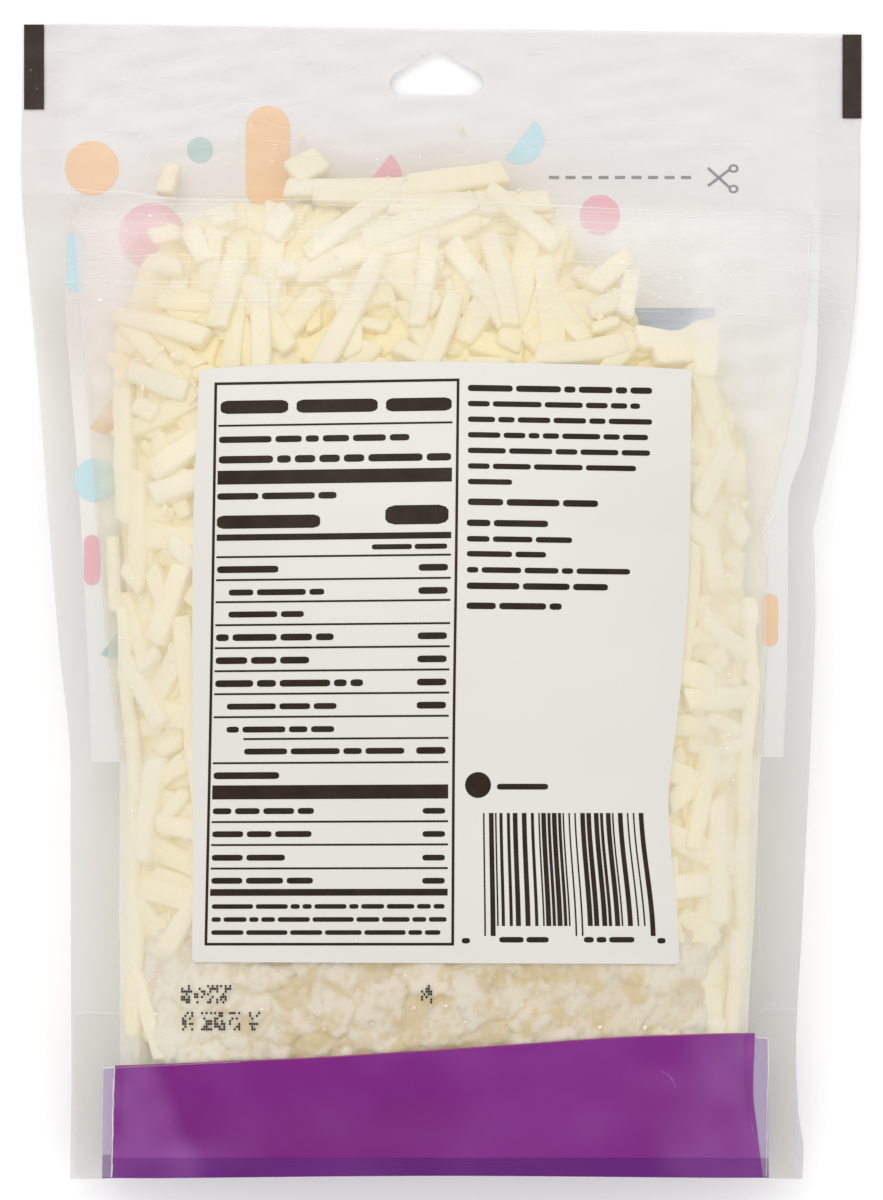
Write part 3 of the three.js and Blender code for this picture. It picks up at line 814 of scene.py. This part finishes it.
# -------- back print: the label
# Places of print are pixels of the picture. LIFT holds how far print stands off the film, in mm.
def patch(name, left, right, top, bottom, height, lift, ink, nu, nv, corner=0.0, punched=False, stored=None):
    """An area between four curves in pixels: left and right are [y, x], top and bottom [x, y]."""
    v, u = np.meshgrid(np.linspace(0, 1, nv + 1), np.linspace(0, 1, nu + 1), indexing="ij")
    xm = left[0][1] + (right[0][1] - left[0][1]) * u
    y = through(top, xm) * (1 - v) + through(bottom, xm) * v
    x = through(left, y) * (1 - u) + through(right, y) * u
    if corner:
        ends = ((np.abs(u - 0.5) > 0.499) & (np.abs(v - 0.5) > 0.499)).astype(float)
        x = x + np.sign(0.5 - u) * ends * corner
        y = y + np.sign(0.5 - v) * ends * corner
    points, faces = lay(x, y, height, lift).reshape(-1, 3), grid_faces(nv + 1, nu + 1)
    if punched:
        points, faces = punch(points, faces)
    piece(name, points, faces, ink, {k: f(x, y) for k, f in (stored or {}).items()})


LIFT = {"label": 0.06, "on label": 0.1, "dots": 0.07, "marks": 0.05, "band": 0.05, "seal": 0.08,
        "fringe": 0.07, "rims": 0.1, "crinkles": 0.06, "glints": 0.09, "zip": 0.12, "flange": 0.05,
        "folds": 0.1, "panel": 0.06, "front seal": 0.16, "dashes": 0.12, "shapes": 0.14,
        "band outside": -0.06, "shapes outside": -0.16, "on field": -0.22}
LABEL_LEFT = [[370, 199.5], [400, 198], [450, 196], [500, 194], [600, 192.3], [850, 192.6], [962, 192]]
LABEL_RIGHT = [[369, 691.5], [500, 690.5], [600, 687.5], [650, 684], [700, 679.5], [750, 673.5],
               [800, 668.5], [850, 671], [900, 676], [964, 680]]
LABEL_TOP = [[192, 370.5], [240, 366.5], [300, 364], [420, 361.5], [520, 363], [600, 365], [692, 369.5]]
LABEL_END = [[192, 962], [430, 963], [680, 964]]


BOX_LEFT = [[383, 215], [700, 210], [945, 205]]
BOX_RIGHT = [[379, 459], [560, 457], [750, 454.5], [944, 453.5]]


def box_warp(x, y):
    """The left block's shapes follow the film: its sides lean and its lines tip."""
    left, right = through(BOX_LEFT, y), through(BOX_RIGHT, y)
    u = (x - 215) / 244
    return left + u * (right - left), y - 4 * u * (1 - (y - 383) / 562)


def side_warp(x, y):
    """The right block's shapes: lines drop a little to the right, and bars lean out lower down."""
    fall = 0.016 * (x - 468) * (1 - smooth(500, 760, y))
    lean = (x - 468) * 0.072 * smooth(800, 945, y) - 4 * smooth(560, 800, y)
    return x + lean, y + fall


def writing(ink, x0, x1, y, tall, heavy, seed):
    """A line of plain rounded bars in the rhythm of words, with no letters."""
    draw = np.random.default_rng(seed)
    letter, half = tall * 0.44 + heavy * 0.25, tall * (0.17 + 0.055 * heavy / tall * 10)
    x, middle = x0, y - tall * 0.36
    while x1 - x > letter * 1.5:
        end = min(x1, x + letter * draw.integers(2, 10))
        if x1 - end < letter * 2.2:
            end = x1
        round_off = min(half, (end - x) / 2)
        inner = np.linspace(x + round_off, end - round_off, max(2, int((end - x) / 7)))
        along = np.concatenate([[x, x + 0.3 * round_off], inner, [end - 0.3 * round_off, end]])
        grow = half * np.concatenate([[0.45, 0.8], np.ones(len(inner)), [0.8, 0.45]])
        rows = np.linspace(-1, 1, 2 + int(half / 3))[:, None]
        ink.add(np.stack([along + 0 * rows, middle + rows * grow], -1))
        x = end + letter * 0.62


# The left block: its frame, rules (y, thickness) and single lines (x0, x1, y, tall, heavy), then rows
# (y, indent, length, with a share at the right), plain rows (y, length) and small lines (y, end).
BOX_SIDES, BOX_ENDS, BOX_REACH, BOX_LINE = (215.8, 458.2), (383.8, 944.2), (214.5, 459.5), 2.7
RULES = ((425.9, 2), (477.8, 13.8), (537.8, 6.4))
HEADINGS = ((221, 452, 418, 29, 3.0), (220, 410, 445, 14, 1.5), (220, 452, 465, 14, 2.4),
            (219, 338, 501, 12, 2.3), (219, 322, 531, 24, 4.6), (387, 450, 529, 33, 7.2),
            (374, 449, 552, 9, 1.9))
ROWS = ((569, 0, 62, True), (592, 12, 96, True), (614, 12, 76, False), (637, 0, 118, True),
        (660, 0, 94, True), (683, 0, 148, True), (706, 12, 110, True), (729, 12, 108, False),
        (751, 30, 160, True), (775, 0, 66, False))
PLAIN_ROWS = ((811, 100), (834, 98), (857.5, 72), (880.5, 100))
SMALL_LINES = ((910, 450), (923, 452), (936, 446))


def left_block():
    ink = Print(box_warp)

    def rule(y, thick, x0=219, x1=453):
        ink.rect(x0, y - thick / 2, x1, y + thick / 2)
    for y in BOX_ENDS:
        rule(y, BOX_LINE, *BOX_REACH)
    for x in BOX_SIDES:
        ink.rect(x - BOX_LINE / 2, BOX_ENDS[0], x + BOX_LINE / 2, BOX_ENDS[1])
    for y, thick in RULES:
        rule(y, thick)
    for k, line in enumerate(HEADINGS):
        writing(ink, *line, 1 + k)
    for k, (y, indent, long, share) in enumerate(ROWS):
        rule(y - 11.7, 2, 249 if indent == 30 else 219)
        writing(ink, 220 + indent, 219 + indent + long, y + 5.5, 13, 1.4 if indent else 2.2, 20 + k)
        if share:
            writing(ink, 421, 450, y + 5, 12, 2.4, 40 + k)
    rule(792.5, 14)
    for k, (y, long) in enumerate(PLAIN_ROWS):
        writing(ink, 220, 220 + long, y + 5, 13, 1.4, 60 + k)
        writing(ink, 428, 450, y + 5, 12, 1.5, 70 + k)
        if k < 3:
            rule(y + 11.1, 2)
    rule(892.5, 6.8)
    for k, (y, end) in enumerate(SMALL_LINES):
        writing(ink, 221, end, y, 9.5, 1.25, 80 + k)
    ink.make("label_box_print", LIFT["on label"], INK)


# The right block's lines, each with its seed: x0, x1, y, tall, heavy, seed.
SIDE_LINES = (
    *((468, end, 392 + k * 15.6, 11.5, 1.35 if k else 2.1, 100 + k)
      for k, end in enumerate((652, 640, 652, 648, 650, 636, 512))),
    (468, 598, 506, 12, 2.3, 110), (467, 548, 527, 12, 2.2, 120), (467, 572, 543, 12, 1.4, 121),
    (467, 546, 558, 12, 1.4, 122), (467, 630, 574, 12, 1.4, 123), (467, 608, 590, 12, 2.2, 124),
    (467, 562, 610, 12, 2.2, 125), (501, 552, 791, 12, 1.5, 130), (466, 473.5, 944, 9, 2.2, 140),
    (501, 547, 943, 9, 2.2, 141), (580, 627, 943, 9, 2.2, 142), (648.5, 656, 944, 9, 2.2, 143))


def right_block():
    ink = Print(side_warp)
    for line in SIDE_LINES:
        writing(ink, *line)
    ink.disc(482, 785, 13)
    ink.make("label_side_print", LIFT["on label"], INK)


BARS_LEFT, BARS_RIGHT, BARS_TOP, BARS_END, BARS_LONG_END = 487.0, 645, 813, 926, 936


def bars():
    """Stripes of uneven width that stand for a scanning code and encode nothing."""
    draw = np.random.default_rng(9)
    ink, x, n = Print(side_warp), BARS_LEFT, 0
    while x < BARS_RIGHT:
        wide, gap = [float(draw.choice(sizes)) for sizes in ([1.5, 1.5, 3.0, 4.6], [1.5, 1.5, 2.9, 4.4])]
        long = n < 2 or x > BARS_RIGHT - 7 or n in (14, 15)
        ink.rect(x, BARS_TOP, x + wide, BARS_LONG_END if long else BARS_END)
        x, n = x + wide + gap, n + 1
    ink.make("label_bars", LIFT["on label"], INK)


# Each row's top and the left edges of its blocks.
DOT_BLOCKS = ((985, (181, 194, 207, 220, 421)), (1012, (182, 201, 214, 229, 249)))


def dot_code():
    """Small ink-jet dots in blocks, in no pattern that reads."""
    draw = np.random.default_rng(33)
    ink = Print()
    for y0, xs in DOT_BLOCKS:
        for x, y in [(x0 + c * 2.3, y0 + r * 2.7) for x0 in xs for r in range(7) for c in range(5)]:
            if draw.random() < 0.42:
                ink.rect(x, y, x + 2.0, y + 2.3)
    ink.make("date_dots", LIFT["dots"], CODE)


patch("label", LABEL_LEFT, LABEL_RIGHT, LABEL_TOP, LABEL_END, film_top, LIFT["label"], LABEL, 170, 200, 1.6)
left_block()
right_block()
bars()
dot_code()


# -------- back print: band, film marks
def end_line(height):
    """The pouch's bottom edge in picture pixels, as [x, y] stations."""
    return np.stack(seen(np.linspace(-66, 66, 23), 0.05, height), 1)


def folded_corners(x, y):
    """Where the folded-in bottom makes the band a little paler."""
    def glow(cx, cy, rx, ry):
        return np.exp(-((x - cx) / rx) ** 2 - ((y - cy) / ry) ** 2)
    fold = 137 + 40 * np.clip((y - 1040) / 95, 0, 1.3) ** 1.2
    left = 0.48 * (1 - smooth(-8, 22, x - fold)) + 0.3 * glow(205, 1152, 45, 16)
    right = 0.4 * smooth(650, 722, x + 0.3 * (y - 1090)) + 0.16 * glow(655, 1080, 30, 20)
    cloud = 1 + 0.22 * waves(x, y, 55, 301)
    return np.clip((left * (x < 330) + right * (x > 560)) * cloud + 0.09 * waves(x, y, 90, 302), 0, 1)


BAND_TOP = [[100, 1067], [115, 1066.5], [280, 1060], [400, 1053], [520, 1045], [640, 1037], [755, 1034],
            [770, 1034]]
BAND_LEFT, BAND_RIGHT = [[1030, 115.5], [1066, 115], [1185, 112]], [[1030, 755], [1090, 753], [1130, 757],
                                                                   [1185, 764]]
BACK_END, FRONT_END = end_line(film_top), end_line(film_under)
# Left side, right side and top of the seals and of the front band.
BACK_SEAL = ([[1150, 113], [1186, 112]], [[1150, 759], [1186, 764]], [[100, 1158], [770, 1158]])
FRONT_SEAL = ([[1150, 102.5], [1185, 102]], [[1150, 768.5], [1185, 769]], [[100, 1155], [770, 1158]])
FRONT_BAND = ([[1030, 104], [1185, 102]], [[1030, 767], [1185, 769]], [[100, 1069], [770, 1038]])
patch("band_back", BAND_LEFT, BAND_RIGHT, BAND_TOP, BACK_END, film_top, LIFT["band"], PURPLE, 420, 34,
      stored={"glow": folded_corners})
patch("band_seal", *BACK_SEAL, BACK_END, film_top, LIFT["seal"], PURPLE_DARK, 420, 8,
      stored={"glow": folded_corners})


# Each rim's top, bottom, x at both and width; then the short lines at the band's upper corners.
RIMS = ((1066, 1177, 114.2, 111.6, 1.4), (1038, 1176, 768.6, 766.4, 0.6))
RIM_TOPS = (((102, 1068.5), (114, 1067)), ((757, 1037), (768, 1038.5)))


def band_edges():
    """The band's red top line, and thin white rims at its sides and upper corners, painted highlights along
    its edges.
    """
    ink, x = Print(), np.linspace(115, 755, 90)
    ink.line(np.stack([x, through(BAND_TOP, x) - 0.4], 1), 1.3)
    ink.make("band_fringe", LIFT["fringe"], RED_EDGE)
    ink, draw = Print(), np.random.default_rng(41)
    for top, low, start, end, wide in RIMS:
        y = np.linspace(top, low, 46)
        x = np.interp(y, [top, low], [start, end]) + 0.35 * waves(y, 0 * y, 14, 42)
        x = x + draw.normal(0, 0.1, len(y))
        for k in range(0, 42, 5):
            ink.line(np.stack([x[k:k + 6], y[k:k + 6]], 1), wide * draw.uniform(0.7, 1.15))
    for ends in RIM_TOPS:
        ink.line(ends, 0.8)
    ink.make("band_rims", LIFT["rims"], RIM)


# The header's long fold is painted as a light line on the film.
HEADER_LIGHT_LINE, HEADER_LIGHT_Y = (470, 752), 141.5  # a long straight fold in the header


def header_wrinkles():
    """Soft crinkles in the header film, mostly at its left, painted as light and shaded lines."""
    draw = np.random.default_rng(61)
    for name, tone, count in (("header_crinkles_light", CRINKLE, 36), ("header_crinkles_dark", SHADE, 44)):
        ink = Print()
        for _ in range(count):
            x0 = 40 + 290 * draw.random() ** 1.2 if draw.random() < 0.75 else draw.uniform(300, 830)
            y0, run = draw.uniform(32, 160), draw.uniform(8, 46)
            if abs(x0 + run / 2 - 437) < 75 and 48 < y0 < 108:
                continue  # the hang hole is there
            x = np.linspace(x0, min(x0 + run, 838), 12)
            bend, phase, tip = draw.uniform(0.5, 3.5), draw.uniform(0, 6), draw.normal(0.02, 0.16)
            y = y0 + bend * np.sin((x - x0) / draw.uniform(7, 20) + phase) - (x - x0) * tip
            ink.line(np.stack([x, y], 1), draw.uniform(0.8, 2.6), 3.0, True)
        if tone is CRINKLE:
            x = np.linspace(*HEADER_LIGHT_LINE, 40)
            y = HEADER_LIGHT_Y + 2.5 * smooth(*HEADER_LIGHT_LINE, x) + 0.5 * waves(x, 0 * x, 60, 63)
            ink.line(np.stack([x, y], 1), 1.4)
        ink.make(name, LIFT["crinkles"], tone, "film")


# Where glints gather: centre, spread each way, count.
GLINT_SPOTS = ((640, 290, 60, 26, 26), (430, 300, 300, 60, 22), (130, 700, 22, 200, 18),
               (725, 700, 22, 200, 18), (400, 150, 330, 30, 16), (430, 1005, 260, 30, 22),
               (210, 250, 100, 60, 12))


def glints():
    """Small painted glints where the film touches or folds."""
    draw = np.random.default_rng(52)
    ink = Print()
    for cx, cy, rx, ry in [spot for *spot, count in GLINT_SPOTS for _ in range(count)]:
        x, y = cx + rx * draw.normal(0, 0.5), cy + ry * draw.normal(0, 0.5)
        size, turn = draw.uniform(0.5, 1.5), draw.uniform(0, np.pi)
        dx, dy = size * draw.uniform(0.6, 2.4) * math.cos(turn), size * math.sin(turn)
        if 56 < x < 840:
            ink.quad((x - dx, y - dy), (x + dy * 0.5, y - dx * 0.4), (x + dx, y + dy),
                     (x - dy * 0.4, y + dx * 0.4))
    ink.make("film_glints", LIFT["glints"], GLINT, "film")


EDGE_MARKS = ((24, 24.5, 44, 109.5), (842.5, 34.5, 861.5, 118.5))


def marks():
    """The dark marks at the header's ends."""
    ink = Print()
    for corners in EDGE_MARKS:
        ink.rect(*corners)
    ink.make("edge_marks", LIFT["marks"], MARK)


band_edges()
header_wrinkles()
glints()
marks()


# -------- front print
PANEL_LEFT = [[20, 60], [100, 62], [300, 65], [400, 72], [460, 77], [600, 85], [763, 92]]
PANEL_RIGHT = [[20, 822], [100, 821], [240, 820], [307, 818], [353, 817], [440, 807], [503, 788],
               [540, 788], [657, 787], [763, 783]]
MARGIN_ENDS = {"left": [[0, 405], [883, 405]], "right": [[0, 430], [883, 430]]}
HEAD_TOP, HEAD_END, PANEL_END = [[20, 24.4], [862, 37.8]], [[20, 193], [862, 208]], [[60, 762], [820, 757]]


def side_line(edge, inset):
    """A line along a side of the pouch in picture pixels, as [y, x] stations."""
    s = np.linspace(LENGTH - 0.3, 96, 40)
    return np.stack(seen(through(edge, s) + inset, s, film_under)[::-1], 1)


POUCH_LEFT, POUCH_RIGHT = side_line(LEFT_EDGE, 0.4), side_line(RIGHT_EDGE, -0.4)


def panel():
    """The white panel: across the whole header, then narrower. Beyond the print, at the header's ends and in
    margins down the side seals that are darker near the header and fade out lower down, it is painted light
    that hides the floor's shadow seen through the clear film.
    """
    def high(_, y):
        return 1 - smooth(185, 225, y)
    head = {"high": high, "left_side": lambda x, y: 1 - smooth(54, 74, x),
            "right_side": lambda x, y: smooth(808, 828, x)}
    front = {"high": high, "left_side": lambda x, y: smooth(150, 60, x) * smooth(420, 330, y)}
    for side, lift, ink in (("inside", LIFT["panel"], PANEL), ("outside", -LIFT["panel"], PANEL_OUT)):
        patch(f"panel_head_{side}", POUCH_LEFT, POUCH_RIGHT, HEAD_TOP, HEAD_END, film_under, lift, ink,
              300, 46, punched=True, stored=head)
        patch(f"panel_front_{side}", PANEL_LEFT, PANEL_RIGHT, HEAD_END, PANEL_END, film_under, lift, ink,
              300, 100, stored=front)
    # Painted light: pale margins behind the clear side seals hide the floor's shadow, darker near the header
    # and fading out lower down.
    patch("painted_light_margin_left", POUCH_LEFT, PANEL_LEFT, HEAD_END, MARGIN_ENDS["left"], film_under,
          LIFT["panel"], PANEL, 12, 66, stored={"left_side": lambda x, y: smooth(275, 195, y),
                                                "fade": lambda x, y: smooth(205, 400, y)})
    patch("painted_light_margin_right", PANEL_RIGHT, POUCH_RIGHT, HEAD_END, MARGIN_ENDS["right"], film_under,
          LIFT["panel"], PANEL, 12, 74, stored={"right_side": lambda x, y: smooth(285, 205, y),
                                                "fade": lambda x, y: smooth(220, 425, y)})


def front_band():
    for side, lift, ink in (("inside", LIFT["band"], PURPLE_PALE), ("outside", LIFT["band outside"], PURPLE)):
        patch(f"band_front_{side}", *FRONT_BAND, FRONT_END, film_under, lift, ink, 160, 26)
    patch("seal_front_inside", *FRONT_SEAL, FRONT_END, film_under, LIFT["front seal"], PURPLE_DIM, 160, 8)


# Each colour's shapes: kind, centre, radius and, of a bar, the straight part's length.
MOTIFS = {
    "orange": (("disc", 92, 168, 27, 0), ("bar", 268, 158, 22, 60), ("half", 108, 404, 30, 0),
               ("disc", 470, 225, 18, 0), ("bar", 770, 620, 8, 36), ("half", 560, 700, 22, 0),
               ("disc", 270, 690, 20, 0)),
    "pink": (("disc", 152, 236, 33, 0), ("half", 372, 178, 30, 0), ("bar", 92, 560, 8, 34),
             ("disc", 600, 215, 20, 0), ("half", 200, 290, 22, 0), ("disc", 660, 690, 17, 0),
             ("half", 180, 700, 20, 0)),
    "blue": (("bar", 76, 262, 9, 42), ("disc", 96, 480, 22, 0), ("half", 520, 140, 24, 0),
             ("disc", 300, 245, 17, 0), ("half", 740, 690, 20, 0), ("bar", 370, 700, 9, 34)),
    "teal": (("disc", 200, 150, 13, 0), ("half", 112, 640, 18, 0), ("bar", 385, 235, 9, 40),
             ("disc", 460, 690, 15, 0)),
    "navy": ()}

# The dark field's parts, its three round corners (the last number is the quarter turn), and what is on it.
FIELD = ((180, 322, 715, 636), (194, 308, 715, 322), (194, 636, 701, 650))
FIELD_CORNERS, FIELD_ROUND = ((194, 322, 2), (194, 636, 1), (701, 636, 0)), 14
FIELD_BARS = ((300, 380, 595, 404), (350, 424, 545, 436), (350, 452, 545, 464), (400, 560, 495, 578))
FIELD_DISCS = ((360, 512, 20), (420, 512, 26), (480, 512, 26), (540, 512, 20))


def front_motifs():
    """Plain discs, half discs and rounded bars: pale from inside the pouch, vivid from outside."""
    for colour, shapes in MOTIFS.items():
        ink = Print()
        for shape, x, y, size, long in shapes:
            if shape == "disc":
                ink.disc(x, y, size)
            elif shape == "half":
                ink.disc(x, y, size, None, -0.9, math.pi - 0.9)
            else:
                ink.rect(x - size, y - long / 2, x + size, y + long / 2, 2.5)
                ink.disc(x, y - long / 2, size, None, math.pi, 2 * math.pi)
                ink.disc(x, y + long / 2, size, None, 0, math.pi)
        if colour == "navy":
            for corners in FIELD:
                ink.rect(*corners)
            for x, y, turn in FIELD_CORNERS:
                ink.disc(x, y, FIELD_ROUND, None, turn * math.pi / 2, (turn + 1) * math.pi / 2)
        ink.make(f"{colour}_shapes_inside", LIFT["shapes"], PALE[colour], height=film_under)
        ink.make(f"{colour}_shapes_outside", LIFT["shapes outside"], VIVID[colour], height=film_under)
    ink = Print()
    for corners in FIELD_BARS:
        ink.rect(*corners)
    for disc in FIELD_DISCS:
        ink.disc(*disc)
    ink.make("field_shapes_outside", LIFT["on field"], PANEL_OUT, height=film_under)


BLADES, HANDLES = (((708, 168), (729, 187)), ((708, 186), (729, 170))), ((733.5, 189), (733.5, 168.5))
DASH_TOP, DASH_END, DASH_LONG, DASHES = 176, 179, 10, 549 + 16.5 * np.arange(9)


def cut_here():
    """The scissors and the row of dashes printed on the front, seen from behind."""
    ink = Print()
    for ends in BLADES:
        ink.line(ends, 2.6)
    for centre in HANDLES:
        ink.disc(*centre, 5.2, 4.4, inner=0.52)
    for x in DASHES:
        ink.rect(x, DASH_TOP, x + DASH_LONG, DASH_END)
    ink.make("cut_dashes", LIFT["dashes"], GREY, height=film_under)


panel()
front_band()
front_motifs()
cut_here()


# -------- zip and folds
# The ridges' heights in the picture and their widths.
RIDGES = ((199, 1.6), (204, 1.0), (215, 1.4), (222, 0.9), (232, 1.0), (255, 1.5), (261, 1.0), (270, 0.8),
          (281, 1.8), (288, 1.2), (300, 1.1))


def strand_lines():
    """Fine ridges of the zip, drawn as whitish lines that are partly its milky plastic and partly painted
    highlight: even along the middle, crushed at the left, dropping at the right.
    """
    draw = np.random.default_rng(15)

    def sway(low, high):
        return np.sin(x / draw.uniform(low, high) + draw.uniform(0, 6))
    ink = Print()
    for y, wide in RIDGES:
        x = np.arange(66, 851, 6.0)
        crush = (1 - smooth(90, 190, x)) * (draw.normal(0, 6) + 1.6 * sway(9, 16))
        drop = 15 * smooth(300, 850, x) + 10 * smooth(775, 860, x) * (y - 190) / 110
        wander = 0.9 * sway(60, 110) + 0.1 * np.sin(x / draw.uniform(9, 17))
        line = np.stack([x, y + crush + drop + wander], 1)
        start = 0
        while start < len(x) - 3:
            end = min(len(x), start + int(draw.integers(6, 46)))
            if end - start > 3:
                ink.line(line[start:end], wide * draw.uniform(0.7, 1.25), taper=True)
            start = end + int(draw.integers(0, 3))
    for _ in range(26):
        x0, y0 = draw.uniform(62, 96), draw.uniform(212, 292)
        run, tip = draw.uniform(18, 60), draw.normal(0, 0.1)
        x = np.linspace(x0, x0 + run, 8)
        y = y0 + (x - x0) * tip + draw.uniform(-2, 2) * np.sin((x - x0) / 16)
        ink.line(np.stack([x, y], 1), draw.uniform(0.5, 0.9))
    for _ in range(14):
        x0, y0 = draw.uniform(770, 800), draw.uniform(235, 302)
        run = draw.uniform(16, 52)
        ink.line([(x0, y0), (x0 + run * 0.5, y0 + 1.5), (x0 + run, y0 + run * 0.16)], draw.uniform(0.5, 0.9))
    ink.make("zip_ridges", LIFT["zip"], ZIP, "film")


FLANGE_SIDES = [[190, 80], [310, 84]], [[190, 838], [330, 840]]
FLANGES = (("upper", [[60, 193], [860, 208]], [[60, 236], [860, 254]], 12),
           ("lower", [[60, 252], [860, 270]], [[60, 303], [860, 326]], 14))


def flange_fade(x, y):
    """The zip's flanges lose themselves in the film at their upper edges and at the sides."""
    drop = y - 0.02 * x
    edge = smooth(205, 192, drop) + smooth(263, 251, drop) * smooth(240, 250, drop)
    return np.clip(edge + smooth(110, 80, x) + smooth(808, 838, x), 0, 1)


# Width, whether the ends taper, and the points, of folds that catch the light.
FOLDS = (
    (1.5, False, (73, 1013), (95, 1012), (118, 1013.5)), (1.1, False, (758, 1010), (780, 1009), (797, 1008)),
    (1.0, False, (118, 1014), (128, 1031), (139, 1050)), (0.8, False, (756, 1015), (749, 1026)),
    (0.7, True, (660, 1070), (672, 1078), (676, 1088)), (0.9, False, (114, 1068), (150, 1066), (240, 1062)),
    (1.6, False, (762, 540), (769, 522), (784, 506)), (1.0, False, (770, 545), (776, 524), (788, 510)),
    (1.2, False, (787, 545), (788, 600), (787, 700)),
    (0.8, False, (119, 560), (120, 700), (120, 860), (121, 960)),
    (0.8, False, (757, 700), (758, 860), (760, 960)))


def folds():
    """Painted highlights along the gusset's folds in the side seals, its corners, the seal lines and the kink
    at the right.
    """
    ink = Print()
    for width, taper, *points in FOLDS:
        ink.line(points, width, taper=taper)
    ink.make("fold_lights", LIFT["folds"], CREASE, "film")


strand_lines()
for flange, top, low, rows in FLANGES:
    patch(f"zip_flange_{flange}", *FLANGE_SIDES, top, low, film_top, LIFT["flange"], ZIP_BASE, 360, rows,
          stored={"fade": flange_fade})
folds()


# -------- room, lights and camera
def put(name, data):
    ob = bpy.data.objects.new(name, data)
    bpy.context.scene.collection.objects.link(ob)
    return ob


# Each lamp's name, place in metres, size and power.
LAMPS = (("key", (-0.35, 0.95, 1.25), 0.9, 7.0), ("fill", (0.9, -0.5, 1.4), 1.2, 2.5))


def room():
    """A pale floor just under the pouch, an even white sky and two soft lamps."""
    white = material("floor_white", (0.93, 0.93, 0.93), 0.9, vary=((0.92, 0.92, 0.92), 400),
                     Emission_Color=(1, 1, 1, 1), Emission_Strength=0.12)
    mesh = bpy.data.meshes.new("floor")
    corners = [(x, y, -0.00012) for x, y in ((-4, -4), (4, -4), (4, 4), (-4, 4))]
    mesh.from_pydata(corners, [], [(0, 1, 2, 3)])
    mesh.materials.append(white)
    floor = put("floor", mesh)
    floor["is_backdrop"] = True
    world = bpy.data.worlds.new("studio")
    bpy.context.scene.world = world
    world.use_nodes = True
    sky = world.node_tree.nodes["Background"].inputs
    sky["Color"].default_value, sky["Strength"].default_value = (1, 1, 1, 1), 0.82
    for name, place, size, power in LAMPS:
        lamp = bpy.data.lights.new(name, "AREA")
        lamp.size, lamp.energy = size, power
        ob = put(name, lamp)
        ob.location = place
        ob.rotation_euler = (math.acos(place[2] / math.hypot(*place)), 0, math.atan2(place[0], -place[1]))


def camera():
    lens = bpy.data.cameras.new("camera")
    lens.sensor_fit = "HORIZONTAL"
    lens.angle = 2 * math.atan(MID_X / PX / EYE)
    ob = put("camera", lens)
    ob.location = (0, 0, EYE * 0.001)
    bpy.context.scene.camera = ob


room()
camera()
bpy.context.scene.view_settings.view_transform = "Standard"

low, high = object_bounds()
